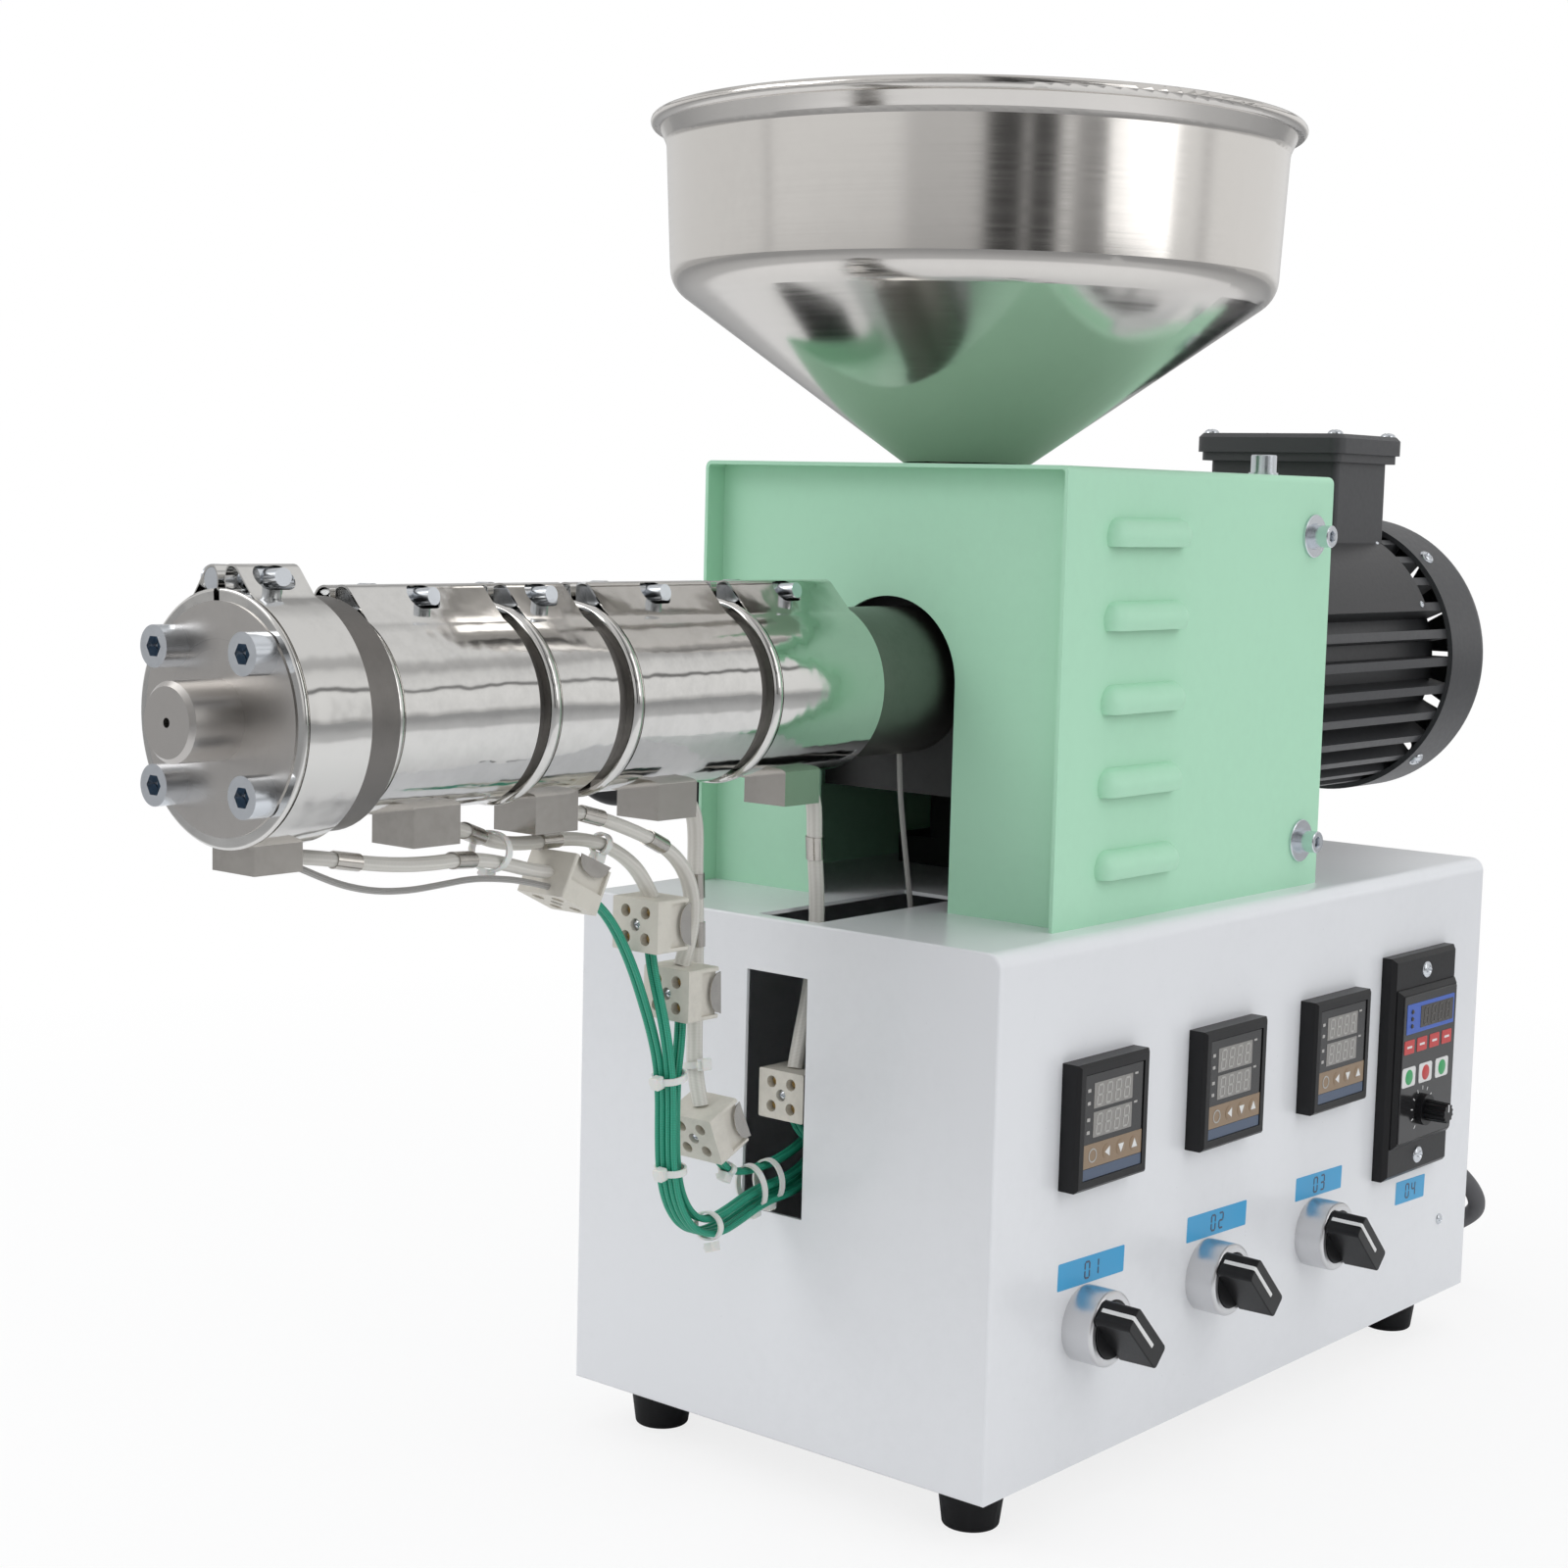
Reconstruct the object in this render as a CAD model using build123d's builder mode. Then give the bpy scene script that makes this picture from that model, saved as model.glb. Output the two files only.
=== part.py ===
"""Desktop single screw extruder: sheet cabinet, louvred hood, hopper, heated barrel, die and geared motor.

Frame: +Z up, die towards -Y, control panel towards +X, origin on the floor midway between the four feet.
"""

from build123d import *

import os
from math import cos, radians, sin, sqrt, tan

os.makedirs("parts", exist_ok=True)

# Shared clearances, and the share of a cord's run that its arc may take
cut_over = 2.0
fit_gap = 0.1
panel_gap = 0.3
arc_run_share = 0.45

# Feet
foot_height = 20.0
foot_top_diameter = 27.0
foot_base_diameter = 21.5
foot_inset_x = 24.0
foot_inset_y = 27.0
foot_screw_diameter = 5.5
foot_recess_diameter = 11.0
foot_recess_depth = 9.0
foot_round = 1.5

# Cabinet
cabinet_width = 205.5
cabinet_length = 387.0
cabinet_height = 202.4
cabinet_sheet = 1.5
cabinet_bend = 6.0
cabinet_edge_round = 1.0
window_width = 30.0
window_height = 92.7
window_drop = 20.7
slot_width = 30.0
slot_setback = 5.5
slot_length = 92.0

# Hood
hood_width = 177.2
hood_length = 199.5
hood_height = 172.8
hood_setback = 52.4
hood_sheet = 1.5
hood_bend = 3.0
hood_front_recess = 10.0
arch_radius = 33.0
louvre_count = 5
louvre_pitch = 31.5
louvre_length = 56.0
louvre_radius = 7.0
louvre_sink = 1.0
louvre_drop = 5.0
louvre_wall = 1.2
louvre_setback = 27.0
louvre_top_below = 25.5

# Barrel and screw axis
axis_above_deck = 88.4
barrel_diameter = 50.0
barrel_bore = 20.0
barrel_flange_diameter = 73.0
barrel_flange_length = 13.4
barrel_collar_diameter = 58.0
barrel_collar_length = 51.0
barrel_reach = 222.6

# Screw
screw_gap = 0.1
screw_core_diameter = 13.0
screw_pitch = 20.0
screw_flight_width = 3.0
screw_flight_root = 1.0
screw_front_gap = 2.0
screw_rear_gap = 6.0
screw_shank_length = 30.0

# Die
die_diameter = 71.0
die_length = 26.0
nozzle_diameter = 24.5
nozzle_length = 19.0
nozzle_chamfer = 1.5
orifice_diameter = 3.0
orifice_land = 8.0
die_bolt_spacing = 42.0
die_bolt_diameter = 8.0
die_bolt_clearance = 0.3
die_bolt_head_diameter = 13.0
die_bolt_head_height = 8.0
die_bolt_socket = 6.0
die_bolt_socket_depth = 4.0
die_bolt_depth = 9.0

# Heater bands: start behind the cabinet's front face (minus is ahead of it) and length
band_starts = [-221.6, -150.5, -111.8, -39.7]
band_lengths = [65.8, 31.6, 65.1, 63.4]
die_band_lead = -0.5
band_sheath = 2.8
band_strap = 0.8
band_bead = 2.2
band_bead_lead = 5.0
band_slit = 3.0
pin_diameter = 7.3
pin_spacing = 12.4
loop_foot_reach = 15.7
loop_inner_foot = 0.1
clamp_slot_length = 13.0
clamp_slot_height = 7.6
clamp_screw_diameter = 5.6
clamp_screw_reach = 16.0
clamp_head_diameter = 8.5
clamp_head_height = 5.5
clamp_head_reach = 20.6

# Terminal boxes under the bands: rear face behind the cabinet's front face, and length
box_rears = [-173.0, -119.0, -59.0, 10.0]
box_length = 20.0
die_box_length = 18.5
die_box_lead = 5.5
box_width = 20.0
box_depth_below_axis = 43.8
die_box_depth_below_axis = 46.8
box_wall = 1.0

# Loose leads
lead_diameter = 6.5
supply_diameter = 5.0
probe_diameter = 2.2
blower_lead_diameter = 3.4

# Hopper
hopper_setback = 110.2
hopper_top_radius = 123.0
hopper_base_radius = 120.3
hopper_rim_radius = 129.4
hopper_rim_height = 134.3
hopper_bead = 2.5
hopper_lip_height = 11.0
hopper_lip_round = 6.0
hopper_wall_base = 68.0
hopper_corner = 14.0
hopper_neck_radius = 25.0
hopper_neck_rise = 0.6
hopper_sheet = 1.2
hopper_hole_gap = 0.5

# Feed block and gear reducer, inside the hood
feed_width = 80.0
feed_height = 90.0
feed_setback = 75.0
feed_length = 90.0
throat_diameter = 30.0
reducer_width = 116.0
reducer_top_gap = 22.8
reducer_round = 10.0
reducer_foot_width = 150.0
reducer_foot_height = 12.0

# Motor
motor_diameter = 129.0
motor_core_diameter = 106.0
motor_fin_count = 30
motor_fin_thickness = 4.2
motor_flange_length = 10.0
motor_frame_length = 172.0
motor_spigot_diameter = 80.0
cowl_diameter = 134.0
cowl_start = 165.0
cowl_length = 40.0
cowl_sheet = 1.6
cowl_round = 9.0
cowl_slot_count = 12
cowl_slot_width = 5.0
cowl_slot_inner_share = 0.3
cowl_slot_outer_share = 0.82
motor_box_setback = 103.0
motor_box_width = 68.0
motor_box_length = 50.0
motor_box_round = 3.0
motor_box_top = 93.0
motor_lid_width = 78.0
motor_lid_length = 64.0
motor_lid_height = 13.0
motor_lid_round = 6.0
motor_lid_step = 4.0
motor_lid_step_in = 2.0
motor_pad_width = 68.0

# Temperature controllers
controller_bezel = 48.0
controller_proud = 8.0
controller_body = 44.5
controller_depth = 80.0
controller_drop = 93.1
controller_count = 3
controller_start = 41.7
controller_pitch = 88.4
controller_chamfer = 1.2
controller_frame = 4.0
controller_recess = 0.8

# Speed controller
speed_width = 60.0
speed_height = 100.0
speed_proud = 9.0
speed_lug_proud = 6.5
speed_raised_width = 55.0
speed_raised_height = 71.0
speed_body_width = 52.0
speed_body_height = 88.0
speed_depth = 42.0
speed_start = 290.0
speed_drop = 135.4
speed_chamfer = 2.0
speed_knob_y = 26.0
speed_knob_z = 30.0
speed_skirt_diameter = 14.0
speed_skirt_length = 3.0
speed_knob_diameter = 9.6
speed_knob_length = 13.0
speed_knob_taper = 2.0
speed_shaft_diameter = 6.0
speed_shaft_depth = 7.0
speed_knob_stand = 0.5
knob_groove_count = 12
knob_groove = 0.7

# Selector switches
selector_count = 3
selector_start = 62.0
selector_pitch = 87.6
selector_drop = 147.4
selector_bezel_diameter = 29.0
selector_bezel_depth = 13.0
selector_bezel_floor = 4.0
selector_bezel_round = 1.5
selector_neck_diameter = 22.0
selector_neck_length = 24.0
selector_disc_diameter = 22.0
selector_disc_gap = 0.35
selector_disc_height = 9.2
selector_shaft_diameter = 7.0
selector_blade_length = 28.5
selector_blade_width = 10.6
selector_blade_height = 15.0
selector_blade_round = 2.0
selector_blade_edge = 0.5
selector_blade_taper = 1.0
selector_rest_angle = 45.0

# Feed-cooling blower on the hood's far side
blower_radius = 34.0
blower_depth = 42.0
blower_setback = 38.0
blower_below_axis = 26.0
blower_side_gap = 4.0
blower_wall = 2.0
blower_inlet_radius = 23.0
blower_outlet_height = 22.0
blower_outlet_setback = 18.0
blower_hub_radius = 9.0
blower_hub_length = 30.0
blower_round = 3.0

# Ceramic terminal blocks: sizes, the middle of each from the cabinet's front face and deck, and its lean
block_middles = [(0, -115, 25.6), (0, -71, 6.6), (0, -54, -20.4), (0, -38, -73.4), (0, 12, -68.4)]
block_leans = [64.0, 0.0, 0.0, 24.0, 0.0]
block_width = 22.0
block_thickness = 16.0
block_height = 19.0
block_hole = 4.6
block_hole_depth = 3.5
block_hole_spacing = 9.5
block_side_recess = 9.0
block_side_depth = 1.5
block_round = 0.8

# Mains lead
gland_x = 60.0
gland_z = 55.0
gland_thread_diameter = 15.0
gland_thread_length = 8.0
gland_nut_width = 19.0
gland_nut_length = 6.0
gland_dome_length = 16.0
gland_dome_end_diameter = 12.0
mains_diameter = 8.5
coil_radius = 47.0
coil_band = 22.0
coil_height = 17.0
coil_round = 6.0
coil_x = -20.0
coil_y = 68.0
plug_width = 30.0
plug_length = 42.0
plug_height = 20.0
plug_round = 6.0
plug_pin_diameter = 4.8
plug_pin_length = 19.0
plug_pin_spacing = 19.0

# Heights and stations worked out from the sizes above
front_y = -cabinet_length / 2
rear_y = cabinet_length / 2
base_z = foot_height
deck_z = base_z + cabinet_height
side_x = cabinet_width / 2
axis_z = deck_z + axis_above_deck
hood_front_y = front_y + hood_setback
hood_rear_y = hood_front_y + hood_length
hood_top_z = deck_z + hood_height
hood_side_x = hood_width / 2
plate_y = hood_front_y + hood_front_recess
feed_front_y = front_y + feed_setback
feed_rear_y = feed_front_y + feed_length
feed_top_z = axis_z + feed_height / 2
hopper_y = front_y + hopper_setback
barrel_front_y = front_y - barrel_reach - barrel_flange_length
die_front_y = barrel_front_y - die_length
die_band_start_y = die_front_y - die_band_lead
motor_y = hood_rear_y
reducer_height = hood_height - reducer_top_gap

# Places of the panel instruments, as (Y, Z)
controller_y = front_y + controller_start + controller_bezel / 2
controller_z = deck_z - controller_drop + controller_bezel / 2
controller_places = [(controller_y + n * controller_pitch, controller_z) for n in range(controller_count)]
speed_place = (front_y + speed_start + speed_width / 2, deck_z - speed_drop + speed_height / 2)
speed_knob_place = (front_y + speed_start + speed_knob_y, deck_z - speed_drop + speed_knob_z)
selector_y = front_y + selector_start
selector_places = [(selector_y + n * selector_pitch, deck_z - selector_drop) for n in range(selector_count)]


def save(piece, name):
    """Label a finished piece and write it to its own file."""
    piece.part.label = name
    export_step(piece.part, f"parts/{name}.step")


def from_front(points, level):
    """Points given from the cabinet's front face and a level, in the part's frame."""
    return [(x, y + front_y, z + level) for x, y, z in points]


def cord_radii(points, name):
    """The largest arc at each corner that leaves each run a tenth of its length straight."""
    radii = []
    for before, corner, after in zip(points, points[1:], points[2:]):
        run_in = Vector(*corner) - Vector(*before)
        run_out = Vector(*after) - Vector(*corner)
        half_turn = radians(run_in.get_angle(run_out)) / 2
        radii.append(arc_run_share * min(run_in.length, run_out.length) / tan(half_turn))
    print(name, "bend radii", [round(radius) for radius in radii])
    return radii


def across_axis(y):
    """A plane across the barrel at y, with its own origin on the barrel's axis and +Y as its normal."""
    return Plane(origin=(0, y, axis_z), x_dir=(-1, 0, 0), z_dir=(0, 1, 0))


# Cabinet

with BuildPart() as cabinet_wrap:
    wrap_length = cabinet_length - 2 * cabinet_sheet
    with BuildSketch(Plane.XZ) as wrap_outside:
        with Locations((0, base_z + cabinet_height / 2)):
            Rectangle(cabinet_width, cabinet_height)
        fillet(wrap_outside.vertices().group_by(Axis.Y)[-1], cabinet_bend)
    extrude(amount=wrap_length / 2, both=True)
    with BuildSketch(Plane.XZ) as wrap_inside:
        with Locations((0, base_z + (cabinet_height - cabinet_sheet) / 2)):
            Rectangle(cabinet_width - 2 * cabinet_sheet, cabinet_height - cabinet_sheet)
        fillet(wrap_inside.vertices().group_by(Axis.Y)[-1], cabinet_bend - cabinet_sheet)
    extrude(amount=wrap_length, both=True, mode=Mode.SUBTRACT)
    with BuildSketch(Plane.XY.offset(deck_z - cabinet_sheet - cut_over)):
        with Locations((0, front_y + slot_setback + slot_length / 2)):
            Rectangle(slot_width, slot_length)
    extrude(amount=cabinet_sheet + 2 * cut_over, mode=Mode.SUBTRACT)
    with BuildSketch(Plane.YZ.offset(side_x - cabinet_sheet - cut_over)):
        with Locations(*controller_places):
            Rectangle(controller_body + 2 * panel_gap, controller_body + 2 * panel_gap)
        with Locations(speed_place):
            Rectangle(speed_body_width + 2 * panel_gap, speed_body_height + 2 * panel_gap)
        with Locations(*selector_places):
            Circle(selector_neck_diameter / 2 + panel_gap)
    extrude(amount=cabinet_sheet + 2 * cut_over, mode=Mode.SUBTRACT)
save(cabinet_wrap, "cabinet_wrap")

with BuildPart() as cabinet_front:
    with BuildSketch(Plane.XZ.offset(-front_y)) as front_outline:
        with Locations((0, base_z + cabinet_height / 2)):
            Rectangle(cabinet_width, cabinet_height)
        fillet(front_outline.vertices().group_by(Axis.Y)[-1], cabinet_bend)
    extrude(amount=-cabinet_sheet)
    fillet(cabinet_front.faces().sort_by(Axis.Y)[0].edges(), cabinet_edge_round)
    with BuildSketch(Plane.XZ.offset(-front_y + cut_over)):
        with Locations((0, deck_z - window_drop - window_height / 2)):
            Rectangle(window_width, window_height)
    extrude(amount=-cabinet_sheet - 2 * cut_over, mode=Mode.SUBTRACT)
save(cabinet_front, "cabinet_front")

with BuildPart() as cabinet_rear:
    with BuildSketch(Plane.XZ.offset(-rear_y)) as rear_outline:
        with Locations((0, base_z + cabinet_height / 2)):
            Rectangle(cabinet_width, cabinet_height)
        fillet(rear_outline.vertices().group_by(Axis.Y)[-1], cabinet_bend)
    extrude(amount=cabinet_sheet)
    fillet(cabinet_rear.faces().sort_by(Axis.Y)[-1].edges(), cabinet_edge_round)
    with BuildSketch(Plane.XZ.offset(-rear_y - cut_over)):
        with Locations((gland_x, base_z + gland_z)):
            Circle(gland_thread_diameter / 2 + fit_gap)
    extrude(amount=cabinet_sheet + 2 * cut_over, mode=Mode.SUBTRACT)
save(cabinet_rear, "cabinet_rear")

foot_spacing_x = cabinet_width - 2 * foot_inset_x
foot_spacing_y = cabinet_length - 2 * foot_inset_y

with BuildPart() as cabinet_floor:
    with BuildSketch(Plane.XY.offset(base_z)):
        Rectangle(cabinet_width - 2 * cabinet_sheet, cabinet_length - 2 * cabinet_sheet)
        with GridLocations(foot_spacing_x, foot_spacing_y, 2, 2):
            Circle(foot_screw_diameter / 2, mode=Mode.SUBTRACT)
    extrude(amount=cabinet_sheet)
save(cabinet_floor, "cabinet_floor")

with BuildPart() as rubber_feet:
    with GridLocations(foot_spacing_x, foot_spacing_y, 2, 2):
        Cone(
            foot_base_diameter / 2,
            foot_top_diameter / 2,
            foot_height,
            align=(Align.CENTER, Align.CENTER, Align.MIN),
        )
    fillet(rubber_feet.edges().group_by(Axis.Z)[0], foot_round)
    with BuildSketch():
        with GridLocations(foot_spacing_x, foot_spacing_y, 2, 2):
            Circle(foot_recess_diameter / 2)
    extrude(amount=foot_recess_depth, mode=Mode.SUBTRACT)
    with BuildSketch():
        with GridLocations(foot_spacing_x, foot_spacing_y, 2, 2):
            Circle(foot_screw_diameter / 2)
    extrude(amount=foot_height, mode=Mode.SUBTRACT)
save(rubber_feet, "rubber_feet")

# Hood

louvre_y = hood_front_y + louvre_setback + louvre_length / 2
louvre_top_z = hood_top_z - louvre_top_below
louvre_places = [(louvre_y, louvre_top_z - n * louvre_pitch) for n in range(louvre_count)]


def capsule(radius, length):
    """A rod of the given length along Y with round ends, centred on the origin."""
    with BuildPart(mode=Mode.PRIVATE) as rod:
        with BuildSketch(Plane.XY) as half:
            SlotOverall(length, 2 * radius, rotation=90)
            with Locations((-radius, 0)):
                Rectangle(2 * radius, length, mode=Mode.SUBTRACT)
        revolve(axis=Axis.Y)
    return rod.part


def louvre_half(radius, length, side):
    """The outer and upper part of a capsule, above the louvre's open lower edge."""
    with BuildPart(mode=Mode.PRIVATE) as shape:
        add(capsule(radius, length))
        split(bisect_by=Plane.XY.offset(louvre_sink - louvre_drop), keep=Keep.TOP)
        split(bisect_by=Plane.YZ, keep=Keep.TOP if side > 0 else Keep.BOTTOM)
    return shape.part


with BuildPart() as hood_cover:
    with BuildSketch(Plane.XZ.offset(-hood_front_y)) as hood_outside:
        with Locations((0, deck_z + hood_height / 2)):
            Rectangle(hood_width, hood_height)
        fillet(hood_outside.vertices().group_by(Axis.Y)[-1], hood_bend)
    extrude(amount=-hood_length)
    with BuildSketch(Plane.XZ.offset(-hood_front_y + cut_over)) as hood_inside:
        with Locations((0, deck_z + (hood_height - hood_sheet) / 2)):
            Rectangle(hood_width - 2 * hood_sheet, hood_height - hood_sheet)
        fillet(hood_inside.vertices().group_by(Axis.Y)[-1], hood_bend - hood_sheet)
    extrude(amount=-hood_length - 2 * cut_over, mode=Mode.SUBTRACT)
    for side in (-1, 1):
        axis_x = side * (hood_side_x - louvre_sink)
        with Locations(*[(axis_x, y, z) for y, z in louvre_places]):
            add(louvre_half(louvre_radius, louvre_length, side))
            inner_length = louvre_length - 2 * louvre_wall
            add(louvre_half(louvre_radius - louvre_wall, inner_length, side), mode=Mode.SUBTRACT)
    with BuildSketch(Plane.XY.offset(hood_top_z - hood_sheet - cut_over)):
        with Locations((0, hopper_y)):
            Circle(hopper_neck_radius + hopper_hole_gap)
    extrude(amount=hood_sheet + 2 * cut_over, mode=Mode.SUBTRACT)
save(hood_cover, "hood_cover")

inner_width = hood_width - 2 * hood_sheet
inner_height = hood_height - hood_sheet

with BuildPart() as hood_front_plate:
    with BuildSketch(Plane.XZ.offset(-plate_y)) as plate_outline:
        with Locations((0, deck_z + inner_height / 2)):
            Rectangle(inner_width, inner_height)
        fillet(plate_outline.vertices().group_by(Axis.Y)[-1], hood_bend - hood_sheet)
        with Locations((0, axis_z)):
            Circle(arch_radius, mode=Mode.SUBTRACT)
        with Locations((0, deck_z + axis_above_deck / 2)):
            Rectangle(2 * arch_radius, axis_above_deck, mode=Mode.SUBTRACT)
    extrude(amount=-hood_sheet)
save(hood_front_plate, "hood_front_plate")

with BuildPart() as hood_rear_plate:
    with BuildSketch(Plane.XZ.offset(-hood_rear_y)) as rear_plate_outline:
        with Locations((0, deck_z + inner_height / 2)):
            Rectangle(inner_width, inner_height)
        fillet(rear_plate_outline.vertices().group_by(Axis.Y)[-1], hood_bend - hood_sheet)
        with Locations((0, axis_z)):
            Circle(motor_spigot_diameter / 2 + panel_gap, mode=Mode.SUBTRACT)
    extrude(amount=hood_sheet)
save(hood_rear_plate, "hood_rear_plate")

# Hopper: a thin shell turned about its upright axis, on a plain neck

rim_z = hood_top_z + hopper_rim_height
wall_base_z = hood_top_z + hopper_wall_base
neck_top_z = hood_top_z + hopper_neck_rise
hopper_axis = Axis((0, hopper_y, 0), (0, 0, 1))
lip_radius = hopper_rim_radius - hopper_bead

with BuildPart() as hopper:
    with BuildSketch(Plane.XZ.offset(-hopper_y)):
        with BuildLine():
            wall = FilletPolyline(
                (hopper_neck_radius, neck_top_z),
                (hopper_base_radius, wall_base_z),
                (hopper_top_radius, rim_z - hopper_lip_height),
                (lip_radius, rim_z - hopper_bead),
                radius=[hopper_corner, hopper_lip_round],
            )
            offset(amount=hopper_sheet, side=Side.LEFT, closed=True)
        make_face()
    revolve(axis=hopper_axis)
    with BuildSketch(Plane.XZ.offset(-hopper_y)):
        with Locations((lip_radius, rim_z - hopper_bead)):
            Circle(hopper_bead)
    revolve(axis=hopper_axis)
save(hopper, "hopper")

with BuildPart() as hopper_neck:
    with BuildSketch(Plane.XY.offset(feed_top_z)):
        with Locations((0, hopper_y)):
            Circle(hopper_neck_radius)
            Circle(hopper_neck_radius - hopper_sheet, mode=Mode.SUBTRACT)
    extrude(amount=neck_top_z - feed_top_z)
save(hopper_neck, "hopper_neck")

# Feed block, gear reducer and barrel

with BuildPart() as feed_block:
    with BuildSketch(Plane.XZ.offset(-feed_front_y)):
        with Locations((0, axis_z)):
            Rectangle(feed_width, feed_height)
            Circle(barrel_diameter / 2 + fit_gap, mode=Mode.SUBTRACT)
    extrude(amount=-feed_length)
    with BuildSketch(Plane.XY.offset(axis_z)):
        with Locations((0, hopper_y)):
            Circle(throat_diameter / 2)
    extrude(amount=feed_height, mode=Mode.SUBTRACT)
save(feed_block, "feed_block")

with BuildPart() as gear_reducer:
    reducer_length = hood_rear_y - hood_sheet - feed_rear_y
    with BuildSketch(Plane.XY.offset(deck_z)):
        with Locations((0, feed_rear_y + reducer_length / 2)):
            RectangleRounded(reducer_width, reducer_length, reducer_round)
    extrude(amount=reducer_height)
    with BuildSketch(Plane.XY.offset(deck_z)):
        with Locations((0, feed_rear_y + reducer_length / 2)):
            RectangleRounded(reducer_foot_width, reducer_length, reducer_round)
    extrude(amount=reducer_foot_height)
save(gear_reducer, "gear_reducer")

with BuildPart() as barrel:
    barrel_rear_y = feed_rear_y
    collar_front_y = feed_front_y - barrel_collar_length
    flange_rear_y = barrel_front_y + barrel_flange_length
    with BuildSketch(Plane.XY.offset(axis_z)):
        with BuildLine():
            Polyline(
                (barrel_bore / 2, barrel_front_y),
                (barrel_flange_diameter / 2, barrel_front_y),
                (barrel_flange_diameter / 2, flange_rear_y),
                (barrel_diameter / 2, flange_rear_y),
                (barrel_diameter / 2, collar_front_y),
                (barrel_collar_diameter / 2, collar_front_y),
                (barrel_collar_diameter / 2, feed_front_y),
                (barrel_diameter / 2, feed_front_y),
                (barrel_diameter / 2, barrel_rear_y),
                (barrel_bore / 2, barrel_rear_y),
                close=True,
            )
        make_face()
    revolve(axis=Axis((0, 0, axis_z), (0, 1, 0)))
    with BuildSketch(across_axis(barrel_front_y)):
        with GridLocations(die_bolt_spacing, die_bolt_spacing, 2, 2):
            Circle(die_bolt_diameter / 2 + fit_gap)
    extrude(amount=die_bolt_depth, mode=Mode.SUBTRACT)
    with BuildSketch(Plane.XY.offset(axis_z)):
        with Locations((0, hopper_y)):
            Circle(throat_diameter / 2)
    extrude(amount=barrel_diameter, mode=Mode.SUBTRACT)
save(barrel, "barrel")

with BuildPart() as screw:
    screw_y = barrel_front_y + screw_front_gap
    screw_length = feed_rear_y - screw_rear_gap - screw_y
    flight_depth = barrel_bore / 2 - screw_gap - screw_core_diameter / 2
    with BuildSketch(across_axis(screw_y)):
        Circle(screw_core_diameter / 2)
    extrude(amount=screw_length)
    with BuildLine() as flight_line:
        Helix(
            screw_pitch,
            screw_length - screw_shank_length,
            screw_core_diameter / 2,
            center=(0, screw_y + screw_flight_width, axis_z),
            direction=(0, 1, 0),
        )
    flight_path = flight_line.wire()
    flight_start = flight_path @ 0
    outward = Vector(flight_start.X, 0, flight_start.Z - axis_z)
    with BuildSketch(Plane(origin=flight_start, x_dir=outward, z_dir=flight_path % 0)):
        with Locations(((flight_depth - screw_flight_root) / 2, 0)):
            Rectangle(flight_depth + screw_flight_root, screw_flight_width)
    sweep(path=flight_path, is_frenet=True)
save(screw, "screw")

with BuildPart() as die_plate:
    nozzle_front_y = die_front_y - nozzle_length
    land_end_y = nozzle_front_y + orifice_land
    with BuildSketch(Plane.XY.offset(axis_z)):
        with BuildLine():
            Polyline(
                (orifice_diameter / 2, nozzle_front_y),
                (nozzle_diameter / 2 - nozzle_chamfer, nozzle_front_y),
                (nozzle_diameter / 2, nozzle_front_y + nozzle_chamfer),
                (nozzle_diameter / 2, die_front_y),
                (die_diameter / 2, die_front_y),
                (die_diameter / 2, barrel_front_y),
                (barrel_bore / 2, barrel_front_y),
                (orifice_diameter / 2, land_end_y),
                close=True,
            )
        make_face()
    revolve(axis=Axis((0, 0, axis_z), (0, 1, 0)))
    with BuildSketch(across_axis(die_front_y)):
        with GridLocations(die_bolt_spacing, die_bolt_spacing, 2, 2):
            Circle(die_bolt_diameter / 2 + die_bolt_clearance)
    extrude(amount=die_length, mode=Mode.SUBTRACT)
save(die_plate, "die_plate")

with BuildPart() as die_bolts:
    with BuildSketch(across_axis(die_front_y)):
        with GridLocations(die_bolt_spacing, die_bolt_spacing, 2, 2):
            Circle(die_bolt_head_diameter / 2)
    extrude(amount=-die_bolt_head_height)
    with BuildSketch(across_axis(die_front_y)):
        with GridLocations(die_bolt_spacing, die_bolt_spacing, 2, 2):
            Circle(die_bolt_diameter / 2)
    extrude(amount=die_length + die_bolt_depth)
    with BuildSketch(across_axis(die_front_y - die_bolt_head_height)):
        with GridLocations(die_bolt_spacing, die_bolt_spacing, 2, 2):
            RegularPolygon(die_bolt_socket / 2, 6, major_radius=False)
    extrude(amount=die_bolt_socket_depth, mode=Mode.SUBTRACT)
save(die_bolts, "die_bolts")

# Heater bands: an insulated sheath with a rolled front bead, and a strap whose ends loop round two pins


def pin_place(sheath_radius):
    """Where the pin's centre stands, from the barrel's axis: it rests on the sheath beside the slit."""
    reach = sheath_radius + pin_diameter / 2 + fit_gap
    return pin_spacing / 2, sqrt(reach**2 - (pin_spacing / 2) ** 2)


def loop_outline(side, sheath_radius, wrap_radius, foot_radius):
    """The drop-shaped outline that a strap end makes from its foot on the band up and round its pin."""
    pin_x, pin_up = pin_place(sheath_radius)
    foot_up = sqrt((sheath_radius + band_strap / 2) ** 2 - loop_foot_reach**2)
    with BuildSketch(mode=Mode.PRIVATE) as outline:
        with Locations((side * pin_x, pin_up)):
            Circle(wrap_radius)
        with Locations((side * loop_foot_reach, foot_up)):
            Circle(foot_radius)
        make_hull()
    return outline.sketch


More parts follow.
